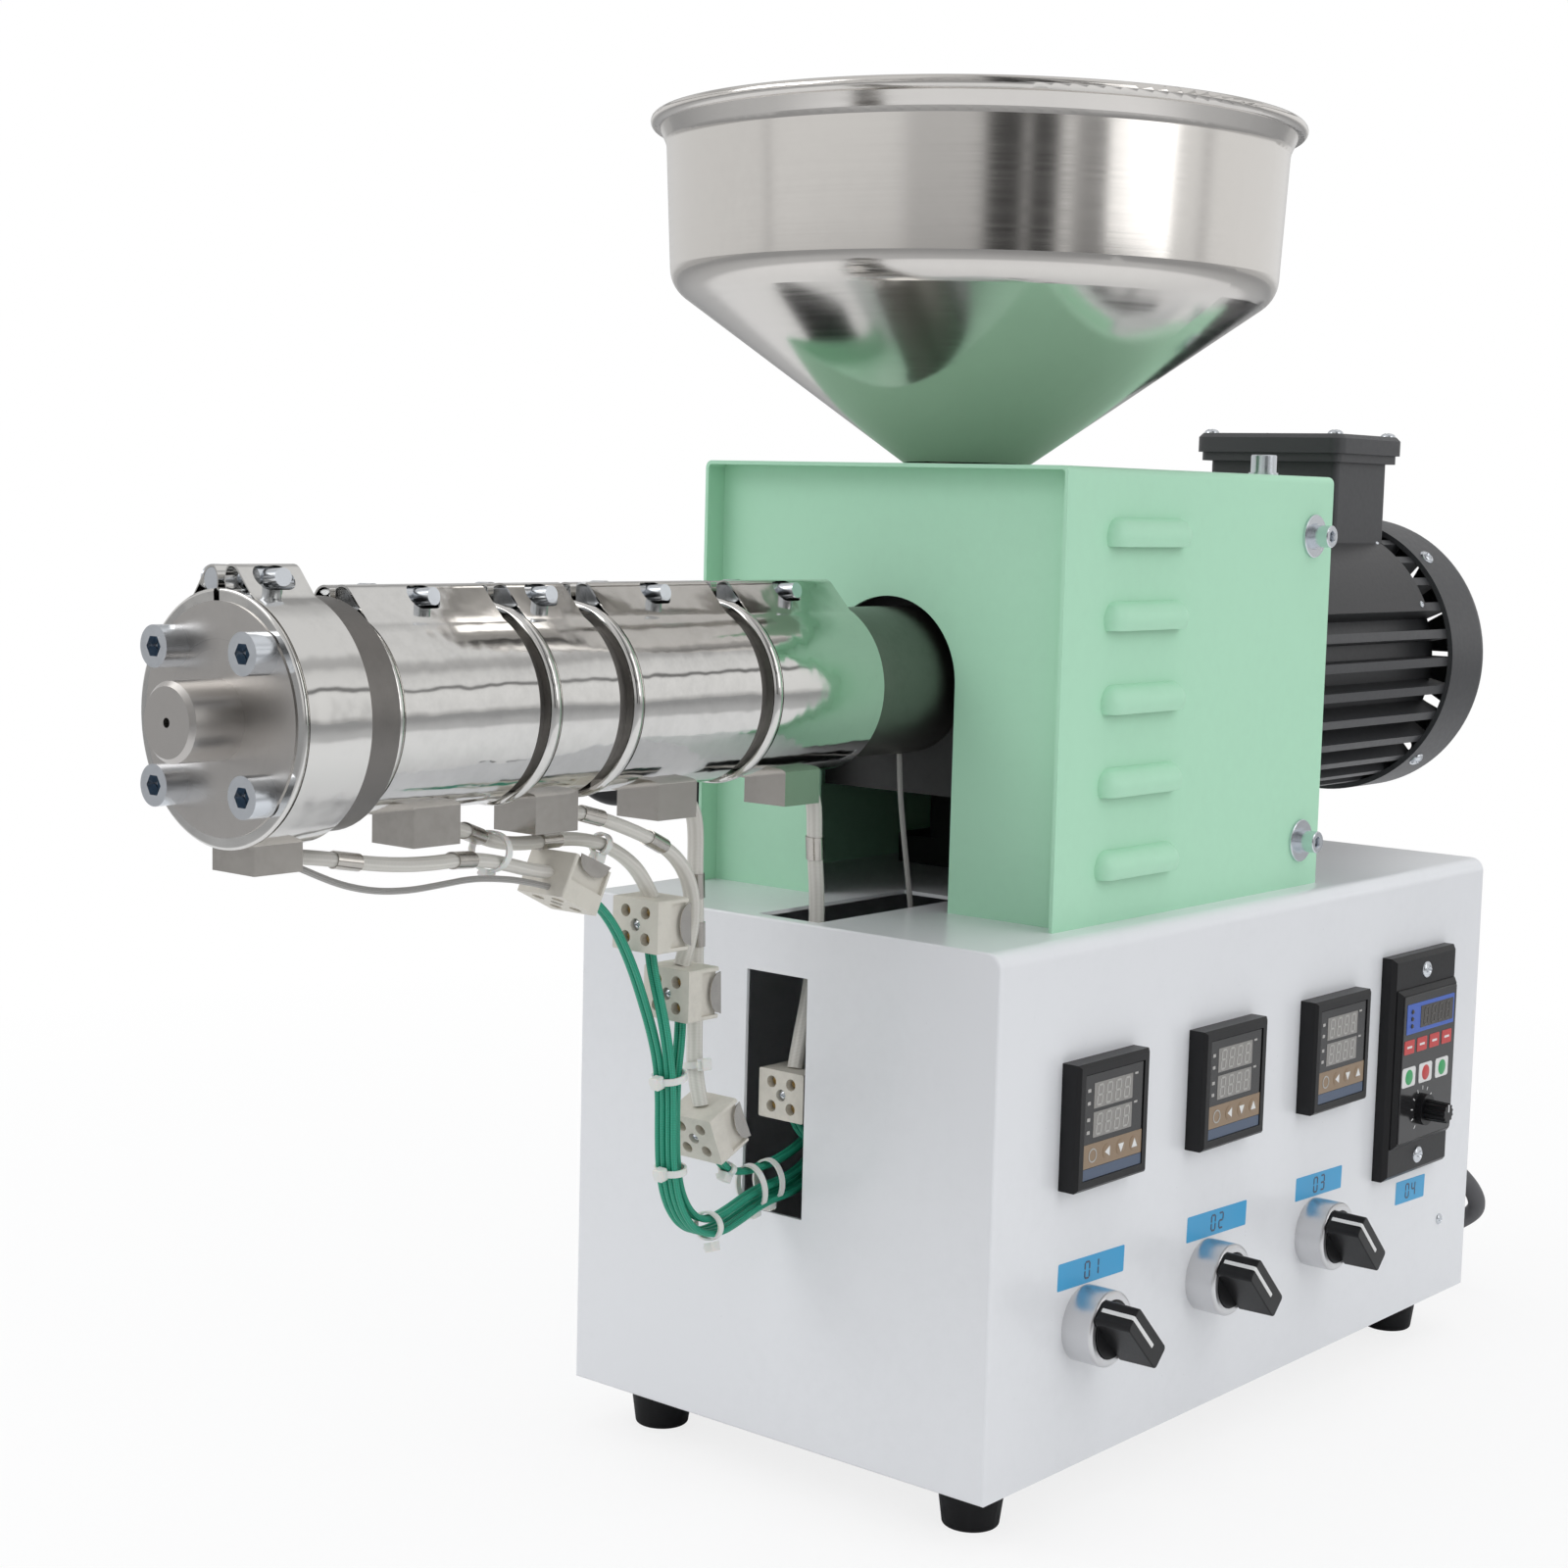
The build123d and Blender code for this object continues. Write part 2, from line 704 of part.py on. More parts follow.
def heater_band(name, start_y, length, core_diameter):
    """One band: sheath and strap, with the slit on top and the slot that the clamp screw passes through."""
    core_radius = core_diameter / 2
    sheath_radius = core_radius + band_sheath
    strap_radius = sheath_radius + band_strap
    strap_length = length - band_bead_lead
    strap_y = start_y + band_bead_lead
    pin_x, pin_up = pin_place(sheath_radius)
    with BuildPart() as band:
        with BuildSketch(Plane.XY.offset(axis_z)):
            with BuildLine():
                Polyline(
                    (core_radius, start_y),
                    (sheath_radius, start_y),
                    (sheath_radius, start_y + length),
                    (core_radius, start_y + length),
                    close=True,
                )
            make_face()
            with Locations((sheath_radius + band_strap - band_bead / 2, start_y + band_bead)):
                Circle(band_bead)
            with Locations((core_radius / 2, start_y + band_bead)):
                Rectangle(core_radius, 2 * band_bead + cut_over, mode=Mode.SUBTRACT)
        revolve(axis=Axis((0, 0, axis_z), (0, 1, 0)))
        with BuildSketch(across_axis(strap_y)):
            Circle(strap_radius)
            for side in (-1, 1):
                add(loop_outline(side, sheath_radius, pin_diameter / 2 + band_strap, band_strap / 2))
            for side in (-1, 1):
                inside = loop_outline(side, sheath_radius, pin_diameter / 2 + fit_gap, loop_inner_foot)
                add(inside, mode=Mode.SUBTRACT)
            Circle(sheath_radius, mode=Mode.SUBTRACT)
        extrude(amount=strap_length)
        with BuildSketch(across_axis(start_y - cut_over)):
            with Locations((0, (core_radius + strap_radius + pin_diameter) / 2)):
                Rectangle(band_slit, strap_radius + pin_diameter - core_radius + 2 * cut_over)
        extrude(amount=length + 2 * cut_over, mode=Mode.SUBTRACT)
        with BuildSketch(Plane.YZ.offset(-strap_radius)):
            with Locations((strap_y + strap_length / 2, axis_z + pin_up)):
                SlotOverall(clamp_slot_length, clamp_slot_height)
        extrude(amount=2 * strap_radius, mode=Mode.SUBTRACT)
    save(band, name)


def band_clamp(name, start_y, length, core_diameter):
    """The two pins in the strap's loops, and the screw across them that draws the band tight."""
    strap_length = length - band_bead_lead
    strap_y = start_y + band_bead_lead
    pin_x, pin_up = pin_place(core_diameter / 2 + band_sheath)
    with BuildPart() as clamp:
        with BuildSketch(across_axis(strap_y)):
            with Locations((-pin_x, pin_up), (pin_x, pin_up)):
                Circle(pin_diameter / 2)
        extrude(amount=strap_length)
        with BuildSketch(Plane.YZ.offset(-clamp_head_reach)):
            with Locations((strap_y + strap_length / 2, axis_z + pin_up)):
                Circle(clamp_screw_diameter / 2)
        extrude(amount=clamp_head_reach + clamp_screw_reach)
        with BuildSketch(Plane.YZ.offset(-clamp_head_reach)):
            with Locations((strap_y + strap_length / 2, axis_z + pin_up)):
                Circle(clamp_head_diameter / 2)
        extrude(amount=clamp_head_height)
    save(clamp, name)


heater_band("die_heater_band", die_band_start_y, die_length + die_band_lead, die_diameter)
band_clamp("die_band_clamp", die_band_start_y, die_length + die_band_lead, die_diameter)
for number, (start, length) in enumerate(zip(band_starts, band_lengths), 1):
    heater_band(f"barrel_heater_band_{number}", front_y + start, length, barrel_diameter)
    band_clamp(f"barrel_band_clamp_{number}", front_y + start, length, barrel_diameter)


def terminal_box(rear_y, length, depth, core_diameter):
    """A sheet box under a band, open at its top, which is cut to the band's curve."""
    strap_radius = core_diameter / 2 + band_sheath + band_strap
    with BuildPart() as box:
        with BuildSketch(across_axis(rear_y - length)):
            with Locations((0, -depth / 2)):
                Rectangle(box_width, depth)
            Circle(strap_radius, mode=Mode.SUBTRACT)
        extrude(amount=length)
        with BuildSketch(across_axis(rear_y - length + box_wall)):
            with Locations((0, -(depth - box_wall) / 2)):
                Rectangle(box_width - 2 * box_wall, depth - box_wall)
        extrude(amount=length - 2 * box_wall, mode=Mode.SUBTRACT)
    return box.part


die_box_rear = die_front_y - front_y + die_box_lead + die_box_length

with BuildPart() as lead_boxes:
    add(terminal_box(front_y + die_box_rear, die_box_length, die_box_depth_below_axis, die_diameter))
    for rear in box_rears:
        add(terminal_box(front_y + rear, box_length, box_depth_below_axis, barrel_diameter))
save(lead_boxes, "lead_boxes")

# Motor

motor_pad_top = sqrt(motor_diameter**2 - motor_pad_width**2) / 2

with BuildPart() as motor_frame:
    fin_y = motor_y + motor_flange_length
    fin_length = motor_frame_length - motor_flange_length
    with BuildSketch(across_axis(motor_y)):
        Circle(motor_diameter / 2)
    extrude(amount=motor_flange_length)
    with BuildSketch(across_axis(fin_y)):
        with PolarLocations(motor_diameter / 4, motor_fin_count):
            Rectangle(motor_diameter / 2 + cut_over, motor_fin_thickness)
        Circle(motor_core_diameter / 2)
        Circle(motor_diameter / 2, mode=Mode.INTERSECT)
    extrude(amount=fin_length)
    with BuildSketch(across_axis(motor_y + motor_box_setback)):
        with Locations((0, motor_pad_top + motor_diameter / 2)):
            Rectangle(motor_diameter, motor_diameter)
    extrude(amount=motor_box_length, mode=Mode.SUBTRACT)
    with BuildSketch(across_axis(motor_y + motor_box_setback)):
        with Locations((0, motor_pad_top / 2)):
            Rectangle(motor_pad_width, motor_pad_top)
    extrude(amount=motor_box_length)
    with BuildSketch(across_axis(motor_y)):
        Circle(motor_spigot_diameter / 2)
    extrude(amount=-hood_sheet)
save(motor_frame, "motor_frame")

with BuildPart() as motor_fan_cowl:
    cowl_y = motor_y + cowl_start
    with BuildSketch(across_axis(cowl_y)):
        Circle(cowl_diameter / 2)
    extrude(amount=cowl_length)
    fillet(motor_fan_cowl.edges().group_by(Axis.Y)[-1], cowl_round)
    with BuildSketch(across_axis(cowl_y)):
        Circle(motor_diameter / 2)
    extrude(amount=cowl_length - cowl_sheet - cowl_round, mode=Mode.SUBTRACT)
    with BuildSketch(across_axis(cowl_y)):
        Circle(cowl_diameter / 2 - cowl_round)
    extrude(amount=cowl_length - cowl_sheet, mode=Mode.SUBTRACT)
    slot_inner = cowl_slot_inner_share * cowl_diameter / 2
    slot_outer = cowl_slot_outer_share * cowl_diameter / 2
    with BuildSketch(across_axis(cowl_y + cowl_length - 2 * cowl_sheet)):
        with PolarLocations((slot_inner + slot_outer) / 2, cowl_slot_count):
            SlotOverall(slot_outer - slot_inner, cowl_slot_width)
    extrude(amount=4 * cowl_sheet, mode=Mode.SUBTRACT)
save(motor_fan_cowl, "motor_fan_cowl")

motor_pad_z = axis_z + motor_pad_top
motor_box_y = motor_y + motor_box_setback + motor_box_length / 2
motor_box_top_z = axis_z + motor_box_top

with BuildPart() as motor_terminal_box:
    with BuildSketch(Plane.XY.offset(motor_pad_z)):
        with Locations((0, motor_box_y)):
            RectangleRounded(motor_box_width, motor_box_length, motor_box_round)
    extrude(amount=motor_box_top_z - motor_pad_z)
save(motor_terminal_box, "motor_terminal_box")

with BuildPart() as motor_terminal_lid:
    with BuildSketch(Plane.XY.offset(motor_box_top_z)):
        with Locations((0, motor_box_y)):
            RectangleRounded(
                motor_lid_width - 2 * motor_lid_step_in,
                motor_lid_length - 2 * motor_lid_step_in,
                motor_lid_round - motor_lid_step_in,
            )
    extrude(amount=motor_lid_height)
    with BuildSketch(Plane.XY.offset(motor_box_top_z + motor_lid_step)):
        with Locations((0, motor_box_y)):
            RectangleRounded(motor_lid_width, motor_lid_length, motor_lid_round)
    extrude(amount=motor_lid_height - motor_lid_step)
    chamfer(motor_terminal_lid.faces().sort_by(Axis.Z)[-1].edges(), motor_lid_step_in)
save(motor_terminal_lid, "motor_terminal_lid")

# Control panel

for number, middle in enumerate(controller_places, 1):
    with BuildPart() as controller:
        with BuildSketch(Plane.YZ.offset(side_x)):
            with Locations(middle):
                Rectangle(controller_bezel, controller_bezel)
        extrude(amount=controller_proud)
        chamfer(controller.faces().sort_by(Axis.X)[-1].edges(), controller_chamfer)
        with BuildSketch(Plane.YZ.offset(side_x)):
            with Locations(middle):
                Rectangle(controller_body, controller_body)
        extrude(amount=-controller_depth)
        with BuildSketch(Plane.YZ.offset(side_x + controller_proud)):
            with Locations(middle):
                Rectangle(controller_bezel - 2 * controller_frame, controller_bezel - 2 * controller_frame)
        extrude(amount=-controller_recess, mode=Mode.SUBTRACT)
    save(controller, f"temperature_controller_{number}")

with BuildPart() as speed_controller:
    with BuildSketch(Plane.YZ.offset(side_x)):
        with Locations(speed_place):
            Rectangle(speed_width, speed_height)
    extrude(amount=speed_lug_proud)
    chamfer(speed_controller.faces().sort_by(Axis.X)[-1].edges(), speed_chamfer)
    with BuildSketch(Plane.YZ.offset(side_x)):
        with Locations(speed_place):
            Rectangle(speed_raised_width, speed_raised_height)
    extrude(amount=speed_proud)
    chamfer(speed_controller.faces().sort_by(Axis.X)[-1].edges(), speed_chamfer)
    with BuildSketch(Plane.YZ.offset(side_x)):
        with Locations(speed_place):
            Rectangle(speed_body_width, speed_body_height)
    extrude(amount=-speed_depth)
    with BuildSketch(Plane.YZ.offset(side_x + speed_proud)):
        with Locations(speed_knob_place):
            Circle(speed_shaft_diameter / 2 + fit_gap)
    extrude(amount=-speed_shaft_depth - fit_gap, mode=Mode.SUBTRACT)
save(speed_controller, "speed_controller")

with BuildPart() as speed_knob:
    with BuildSketch(Plane.YZ.offset(side_x + speed_proud + speed_knob_stand)):
        with Locations(speed_knob_place):
            Circle(speed_skirt_diameter / 2)
    extrude(amount=speed_skirt_length)
    with BuildSketch(Plane.YZ.offset(side_x + speed_proud + speed_knob_stand + speed_skirt_length)):
        with Locations(speed_knob_place):
            Circle(speed_knob_diameter / 2)
            with PolarLocations(speed_knob_diameter / 2, knob_groove_count):
                Circle(knob_groove, mode=Mode.SUBTRACT)
    extrude(amount=speed_knob_length - speed_skirt_length, taper=speed_knob_taper)
    with BuildSketch(Plane.YZ.offset(side_x + speed_proud - speed_shaft_depth)):
        with Locations(speed_knob_place):
            Circle(speed_shaft_diameter / 2)
    extrude(amount=speed_shaft_depth + speed_knob_stand)
save(speed_knob, "speed_knob")

disc_floor = selector_bezel_floor + selector_disc_gap
bezel_bore = selector_disc_diameter / 2 + selector_disc_gap

with BuildPart() as selector_bezels:
    with BuildSketch(Plane.YZ.offset(side_x)):
        with Locations(*selector_places):
            Circle(selector_bezel_diameter / 2)
    extrude(amount=selector_bezel_depth)
    fillet(selector_bezels.edges().group_by(Axis.X)[-1], selector_bezel_round)
    with BuildSketch(Plane.YZ.offset(side_x)):
        with Locations(*selector_places):
            Circle(selector_neck_diameter / 2)
    extrude(amount=-selector_neck_length)
    with BuildSketch(Plane.YZ.offset(side_x + selector_bezel_floor)):
        with Locations(*selector_places):
            Circle(bezel_bore)
    extrude(amount=selector_bezel_depth, mode=Mode.SUBTRACT)
    with BuildSketch(Plane.YZ.offset(side_x - selector_neck_length)):
        with Locations(*selector_places):
            Circle(selector_shaft_diameter / 2 + fit_gap)
    extrude(amount=selector_neck_length + selector_bezel_depth, mode=Mode.SUBTRACT)
save(selector_bezels, "selector_bezels")

for number, (y, z) in enumerate(selector_places, 1):
    with BuildPart() as selector_knob:
        face = Plane(origin=(side_x + disc_floor, y, z), x_dir=(0, 1, 0), z_dir=(1, 0, 0))
        with BuildSketch(face):
            Circle(selector_disc_diameter / 2)
        extrude(amount=selector_disc_height)
        with BuildSketch(face.offset(selector_disc_height)):
            RectangleRounded(
                selector_blade_length,
                selector_blade_width,
                selector_blade_round,
                rotation=180 - selector_rest_angle,
            )
        extrude(amount=selector_blade_height, taper=selector_blade_taper)
        fillet(selector_knob.faces().sort_by(Axis.X)[-1].edges(), selector_blade_edge)
        with BuildSketch(face):
            Circle(selector_shaft_diameter / 2)
        extrude(amount=-selector_neck_length)
    save(selector_knob, f"selector_knob_{number}")

# Feed-cooling blower beside the hood

blower_x = -hood_side_x - blower_side_gap - blower_radius
blower_z = axis_z - blower_below_axis
blower_y = front_y + blower_setback
blower_plane = Plane(origin=(blower_x, blower_y, blower_z), x_dir=(1, 0, 0), z_dir=(0, -1, 0))
outlet_reach = blower_radius + blower_side_gap

with BuildPart() as blower_housing:
    with BuildSketch(blower_plane):
        Circle(blower_radius)
    extrude(amount=-blower_depth)
    fillet(blower_housing.edges().group_by(Axis.Y)[0], blower_round)
    with BuildSketch(blower_plane.offset(-blower_outlet_setback)):
        with Locations((outlet_reach / 2, -blower_radius + blower_outlet_height / 2)):
            Rectangle(outlet_reach, blower_outlet_height)
    extrude(amount=blower_outlet_setback - blower_depth)
    with BuildSketch(blower_plane):
        Circle(blower_inlet_radius)
    extrude(amount=blower_wall - blower_depth, mode=Mode.SUBTRACT)
save(blower_housing, "blower_housing")

with BuildPart() as blower_hub:
    with BuildSketch(blower_plane.offset(blower_wall - blower_depth)):
        Circle(blower_hub_radius)
    extrude(amount=blower_hub_length)
save(blower_hub, "blower_hub")

# Ceramic terminal blocks


def block_plane(middle, lean):
    """A plane in the block's front face: its own Y runs up the block, against the wires' way through it."""
    centre = from_front([middle], deck_z)[0]
    wire_up = (0, -sin(radians(lean)), cos(radians(lean)))
    facing = (0, -cos(radians(lean)), -sin(radians(lean)))
    front = Plane(origin=centre, x_dir=Vector(*wire_up).cross(Vector(*facing)), z_dir=facing)
    return front.offset(block_thickness / 2)


with BuildPart() as terminal_blocks:
    for middle, lean in zip(block_middles, block_leans):
        face = block_plane(middle, lean)
        with BuildSketch(face):
            RectangleRounded(block_width, block_height, block_round)
        extrude(amount=-block_thickness)
        with BuildSketch(face):
            with GridLocations(block_hole_spacing, block_hole_spacing, 2, 2):
                Circle(block_hole / 2)
            Circle(block_hole / 2)
        extrude(amount=-block_hole_depth, mode=Mode.SUBTRACT)
        with BuildSketch(face.offset(-block_thickness)):
            with Locations((-block_width / 2, 0), (block_width / 2, 0)):
                Rectangle(2 * block_side_depth, block_height - 2 * block_side_depth)
        extrude(amount=block_side_recess, mode=Mode.SUBTRACT)
save(terminal_blocks, "terminal_blocks")

# Loose leads, with points from the cabinet's front face and deck

lead_routes = {
    "die lead": [
        (0, -241, 45.6), (2, -227, 44.1), (5, -213, 41.6), (6.5, -199, 39.6), (6.5, -184, 38.6),
        (5.5, -170, 38.6), (4, -156, 37.1), (2, -143, 34.1), (1.1, -132.8, 31.3), (0, -123.6, 29.7),
    ],
    "lead 1": [
        (0, -173, 49.6), (-1, -163, 47.6), (-3.3, -152, 43.8), (-5, -141, 40.6), (-5.5, -129, 39.3),
        (-5.5, -116, 39.6), (-5, -104, 39.1), (-4, -93, 36.6), (-3, -83, 31.6), (-1, -75.5, 24.6),
        (0, -71, 16.1),
    ],
    "lead 2": [
        (0, -119, 50.6), (2, -109, 49.1), (4, -98, 45.6), (5, -87, 41.6), (5, -77, 37.6),
        (5, -67, 32.6), (4, -58.5, 25.6), (3, -53, 17.1), (2, -51, 7.6), (1, -51.5, -1.9),
        (0, -54, -10.9),
    ],
    "lead 3": [
        (0, -59, 50.6), (0, -53, 49.6), (0, -47.5, 46.6), (0, -43, 41.1), (0, -40.5, 33.6),
        (0.5, -39.5, 22.6), (0.5, -38.5, 7.6), (0, -38, -8.4), (0, -38.5, -24.4), (0.5, -40, -39.4),
        (0.5, -42.5, -52.4), (0, -41.9, -64.7),
    ],
    "lead 4": [
        (0, 10, 49.6), (0, 16, 48.6), (0, 21, 44.6), (0, 24, 38.6), (0.5, 25.5, 30.6), (0.5, 27, 19.6),
        (0, 28.5, 7.6), (0, 29, -4.4), (0, 27.5, -16.4), (0.5, 24.5, -27.9), (0.5, 20, -38.4),
        (0, 15.5, -48.4), (0, 12, -58.9),
    ],
}

blower_route = [
    (-122, 80, 42.6), (-121.5, 88, 41.1), (-119, 95.5, 36.6), (-114.5, 101.5, 29.6), (-108.5, 106, 21.6),
    (-102.5, 109.5, 13.6), (-98, 112, 6.1), (-96, 113.5, 0),
]

supply_routes = {
    "supply 1": [
        (0, -106.4, 21.4), (0, -98.5, 16.1), (-0.5, -91, 8.6), (-1, -84.5, -0.4), (-1.5, -78.5, -10.4),
        (-2.2, -73, -21.4), (-2.65, -68.8, -32.9), (-2.65, -65.6, -44.9), (-2.65, -64, -57.4),
        (-2.65, -63.8, -70.4), (-2.65, -63.2, -83.4), (-2.65, -60.3, -95.9), (-2.65, -54, -105.9),
        (-2.65, -45.5, -111.6), (-2.65, -36, -112.6), (-2.65, -26.5, -110.4), (-2.65, -17, -107.4),
        (-2.65, -7.5, -105.6), (-2.65, 2, -105.2), (-3, 13, -103.8), (-4.5, 26, -99.4),
        (-6.5, 39, -92.9), (-7.5, 52, -84.9), (-6.5, 63, -77.9), (-0.5, 72, -72.4), (10.5, 78.5, -68.6),
        (22.75, 81, -67.4),
    ],
    "supply 2": [
        (0, -71, -2.9), (0.8, -71.2, -8.9), (1.8, -70.8, -16.4), (2.4, -69.4, -25.4),
        (2.65, -67.6, -34.4), (2.65, -65.3, -45.9), (2.65, -64, -57.9), (2.65, -63.8, -70.9),
        (2.65, -63.1, -83.9), (2.65, -60.1, -96.4), (2.65, -53.8, -106.1), (2.65, -45.3, -111.6),
        (2.65, -35.8, -112.6), (2.65, -26.3, -110.4), (2.65, -16.8, -107.4), (2.65, -7.3, -105.6),
        (2.65, 2.2, -105.2), (2.4, 13, -103.6), (1.6, 25, -99.4), (1, 37, -93.4), (1.5, 48, -86.4),
        (4.5, 57.5, -79.4), (10, 64.5, -73.9), (16.5, 68.5, -71.1), (22.75, 69.5, -70.4),
    ],
    "supply 3": [
        (0, -54, -29.9), (0, -54.6, -35.9), (0, -56.4, -42.9), (0, -58.5, -50.9), (0, -59.3, -60.4),
        (0, -59.1, -71.4), (0, -58.5, -82.9), (0, -56, -93.9), (0, -50.6, -102.6), (0, -43.6, -107),
        (0, -35.6, -107.6), (0, -26.8, -105.5), (0, -17.5, -102.6), (0, -8, -100.9), (0, 1.5, -100.5),
        (0, 12.5, -98.7), (0.3, 24, -93.9), (1.2, 34, -87.9), (4, 42.5, -82.4), (9, 49.5, -77.9),
        (16, 55.6, -76), (22.75, 58.5, -75.4),
    ],
    "supply 4": [
        (0, -34.2, -82.1), (0, -30.8, -88.1), (-0.3, -24.5, -92.6), (-0.6, -17, -94.3),
        (-1, -8.5, -94.5), (-1, 1, -94), (-1.5, 11.5, -92.2), (-1.5, 22, -88.2), (0, 32, -82.2),
        (3.5, 40, -76.4), (8.5, 47, -71.9), (15, 51.5, -69.4), (22.75, 53, -68.4),
    ],
    "supply 5": [
        (0, 12, -77.9), (2, 13, -83.4), (6, 16, -86.9), (11, 21, -87.4), (15, 27, -83.9),
        (17, 33.5, -77.9), (17.3, 39.5, -70.4), (19, 44, -62.9), (22.75, 47, -56.4),
    ],
}

probe_routes = {
    "die probe": [
        (6.5, -241, 44.1), (7, -231, 39.6), (8, -220, 35.1), (8.5, -207, 32.1), (8.5, -193, 31.1),
        (8, -179, 31.6), (7, -165, 32.1), (5.5, -151, 30.6), (4, -138, 28.4), (3, -125.8, 25.2),
    ],
    "feed probe": [
        (6, 64, 59.8), (6.3, 64.4, 48.6), (7, 65.2, 37.6), (8, 66, 26.6), (9, 67, 15.6), (9.8, 68.2, 4.6),
        (10.3, 69.8, -6.4), (10.6, 72.5, -17.4), (10.9, 77, -27.9), (11.2, 83.5, -37.4), (11.6, 91.5, -45.4),
        (12.2, 101, -51.4), (13.2, 111.5, -55.4), (14.8, 122, -58.1), (17.2, 132, -59.7), (20, 139, -60.4),
        (22.75, 143, -60.6),
    ],
}


def cord(name, placed, diameter):
    """A round tube along straight runs joined by the largest tangent arcs."""
    with BuildPart() as tube:
        with BuildLine() as path:
            FilletPolyline(*placed, radius=cord_radii(placed, name))
        route = path.wire()
        with BuildSketch(Plane(origin=route @ 0, z_dir=route % 0)) as section:
            Circle(diameter / 2)
        sweep(path=route)
    filled_share = tube.part.volume / (section.sketch.area * route.length)
    print(name, "length", round(route.length), "filled share", round(filled_share, 3))
    return tube.part


with BuildPart() as heater_leads:
    for name, points in lead_routes.items():
        add(cord(name, from_front(points, deck_z), lead_diameter))
save(heater_leads, "heater_leads")

with BuildPart() as probe_leads:
    for name, points in probe_routes.items():
        add(cord(name, from_front(points, deck_z), probe_diameter))
save(probe_leads, "probe_leads")

with BuildPart() as blower_lead:
    add(cord("blower lead", from_front(blower_route, deck_z), blower_lead_diameter))
save(blower_lead, "blower_lead")

with BuildPart() as supply_wires:
    for name, points in supply_routes.items():
        add(cord(name, from_front(points, deck_z), supply_diameter))
save(supply_wires, "supply_wires")

# Mains lead: gland, free stretch, coil behind the cabinet and plug

gland_centre = (gland_x, rear_y, base_z + gland_z)
gland_plane = Plane(origin=gland_centre, x_dir=(-1, 0, 0), z_dir=(0, 1, 0))
gland_end = gland_nut_length + gland_dome_length

with BuildPart() as cable_gland:
    with BuildSketch(gland_plane):
        Circle(gland_thread_diameter / 2)
    extrude(amount=-gland_thread_length)
    with BuildSketch(gland_plane):
        RegularPolygon(gland_nut_width / 2, 6, major_radius=False)
    extrude(amount=gland_nut_length)
    with BuildSketch(gland_plane.offset(gland_nut_length)):
        Circle(gland_nut_width / 2)
    with BuildSketch(gland_plane.offset(gland_end)):
        Circle(gland_dome_end_diameter / 2)
    loft()
save(cable_gland, "cable_gland")

mains_route = [
    (60, 409, 55), (61, 417, 54.5), (65, 426, 52.5), (72, 434, 48), (79.5, 439.5, 41), (84.5, 442, 31.5),
    (85.5, 442.5, 21), (82, 440, 10.5), (75, 434, 1), (65, 427, -7), (54, 419.5, -12.5), (42, 413.5, -15.2),
    (29, 409.5, -15.7), (15, 408, -15.7), (1, 407.7, -15.7),
]
mains_tail = [
    (-24, 403.6, -7), (-38, 404, -8), (-52, 404.7, -9.3), (-65, 405, -10), (-78, 405.1, -10),
]

with BuildPart() as mains_cable:
    add(cord("mains", from_front(mains_route, base_z), mains_diameter))
    add(cord("mains tail", from_front(mains_tail, base_z), mains_diameter))
save(mains_cable, "mains_cable")

coil_middle = (coil_x, rear_y + coil_y, coil_height / 2)

with BuildPart() as mains_coil:
    with BuildSketch(Plane(origin=coil_middle, x_dir=(1, 0, 0), z_dir=(0, -1, 0))):
        with Locations((coil_radius, 0)):
            RectangleRounded(coil_band, coil_height, coil_round)
    revolve(axis=Axis(coil_middle, (0, 0, 1)))
save(mains_coil, "mains_coil")

plug_end = from_front(mains_tail, base_z)[-1]
plug_plane = Plane(origin=plug_end, x_dir=(0, 1, 0), z_dir=(-1, 0, 0))

with BuildPart() as mains_plug:
    with BuildSketch(plug_plane):
        RectangleRounded(plug_width, plug_height, plug_round)
    extrude(amount=plug_length)
    with BuildSketch(plug_plane.offset(plug_length)):
        with Locations((-plug_pin_spacing / 2, 0), (plug_pin_spacing / 2, 0)):
            Circle(plug_pin_diameter / 2)
    extrude(amount=plug_pin_length)
save(mains_plug, "mains_plug")
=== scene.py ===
"""Looks for a desktop single screw extruder: materials, leads, fasteners, panel faces and the studio."""

import math

import bpy
import numpy as np
from mathutils import Matrix, Vector


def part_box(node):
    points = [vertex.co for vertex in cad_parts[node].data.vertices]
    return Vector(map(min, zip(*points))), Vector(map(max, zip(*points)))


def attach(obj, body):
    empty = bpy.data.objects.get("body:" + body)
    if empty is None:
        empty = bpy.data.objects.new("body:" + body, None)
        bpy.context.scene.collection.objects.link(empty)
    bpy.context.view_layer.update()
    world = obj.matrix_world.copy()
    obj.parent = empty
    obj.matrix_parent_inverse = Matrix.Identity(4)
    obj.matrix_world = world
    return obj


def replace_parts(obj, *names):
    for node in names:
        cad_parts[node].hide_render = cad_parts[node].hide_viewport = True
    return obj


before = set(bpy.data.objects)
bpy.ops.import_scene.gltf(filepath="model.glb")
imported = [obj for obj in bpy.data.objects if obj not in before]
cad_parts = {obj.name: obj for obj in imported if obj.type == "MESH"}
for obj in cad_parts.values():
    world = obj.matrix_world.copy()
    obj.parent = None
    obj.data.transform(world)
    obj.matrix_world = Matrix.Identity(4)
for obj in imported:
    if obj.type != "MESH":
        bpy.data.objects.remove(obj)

bl_info = {
    "name": "Single screw extruder looks",
    "version": (1, 0, 0),
    "blender": (4, 5, 0),
    "location": "3D View > Sidebar > Extruder",
    "description": "Builds the leads, small hardware, panel faces, materials and studio of a screw extruder",
    "category": "Object",
}

MACHINE = "machine"
MATERIALS = {}

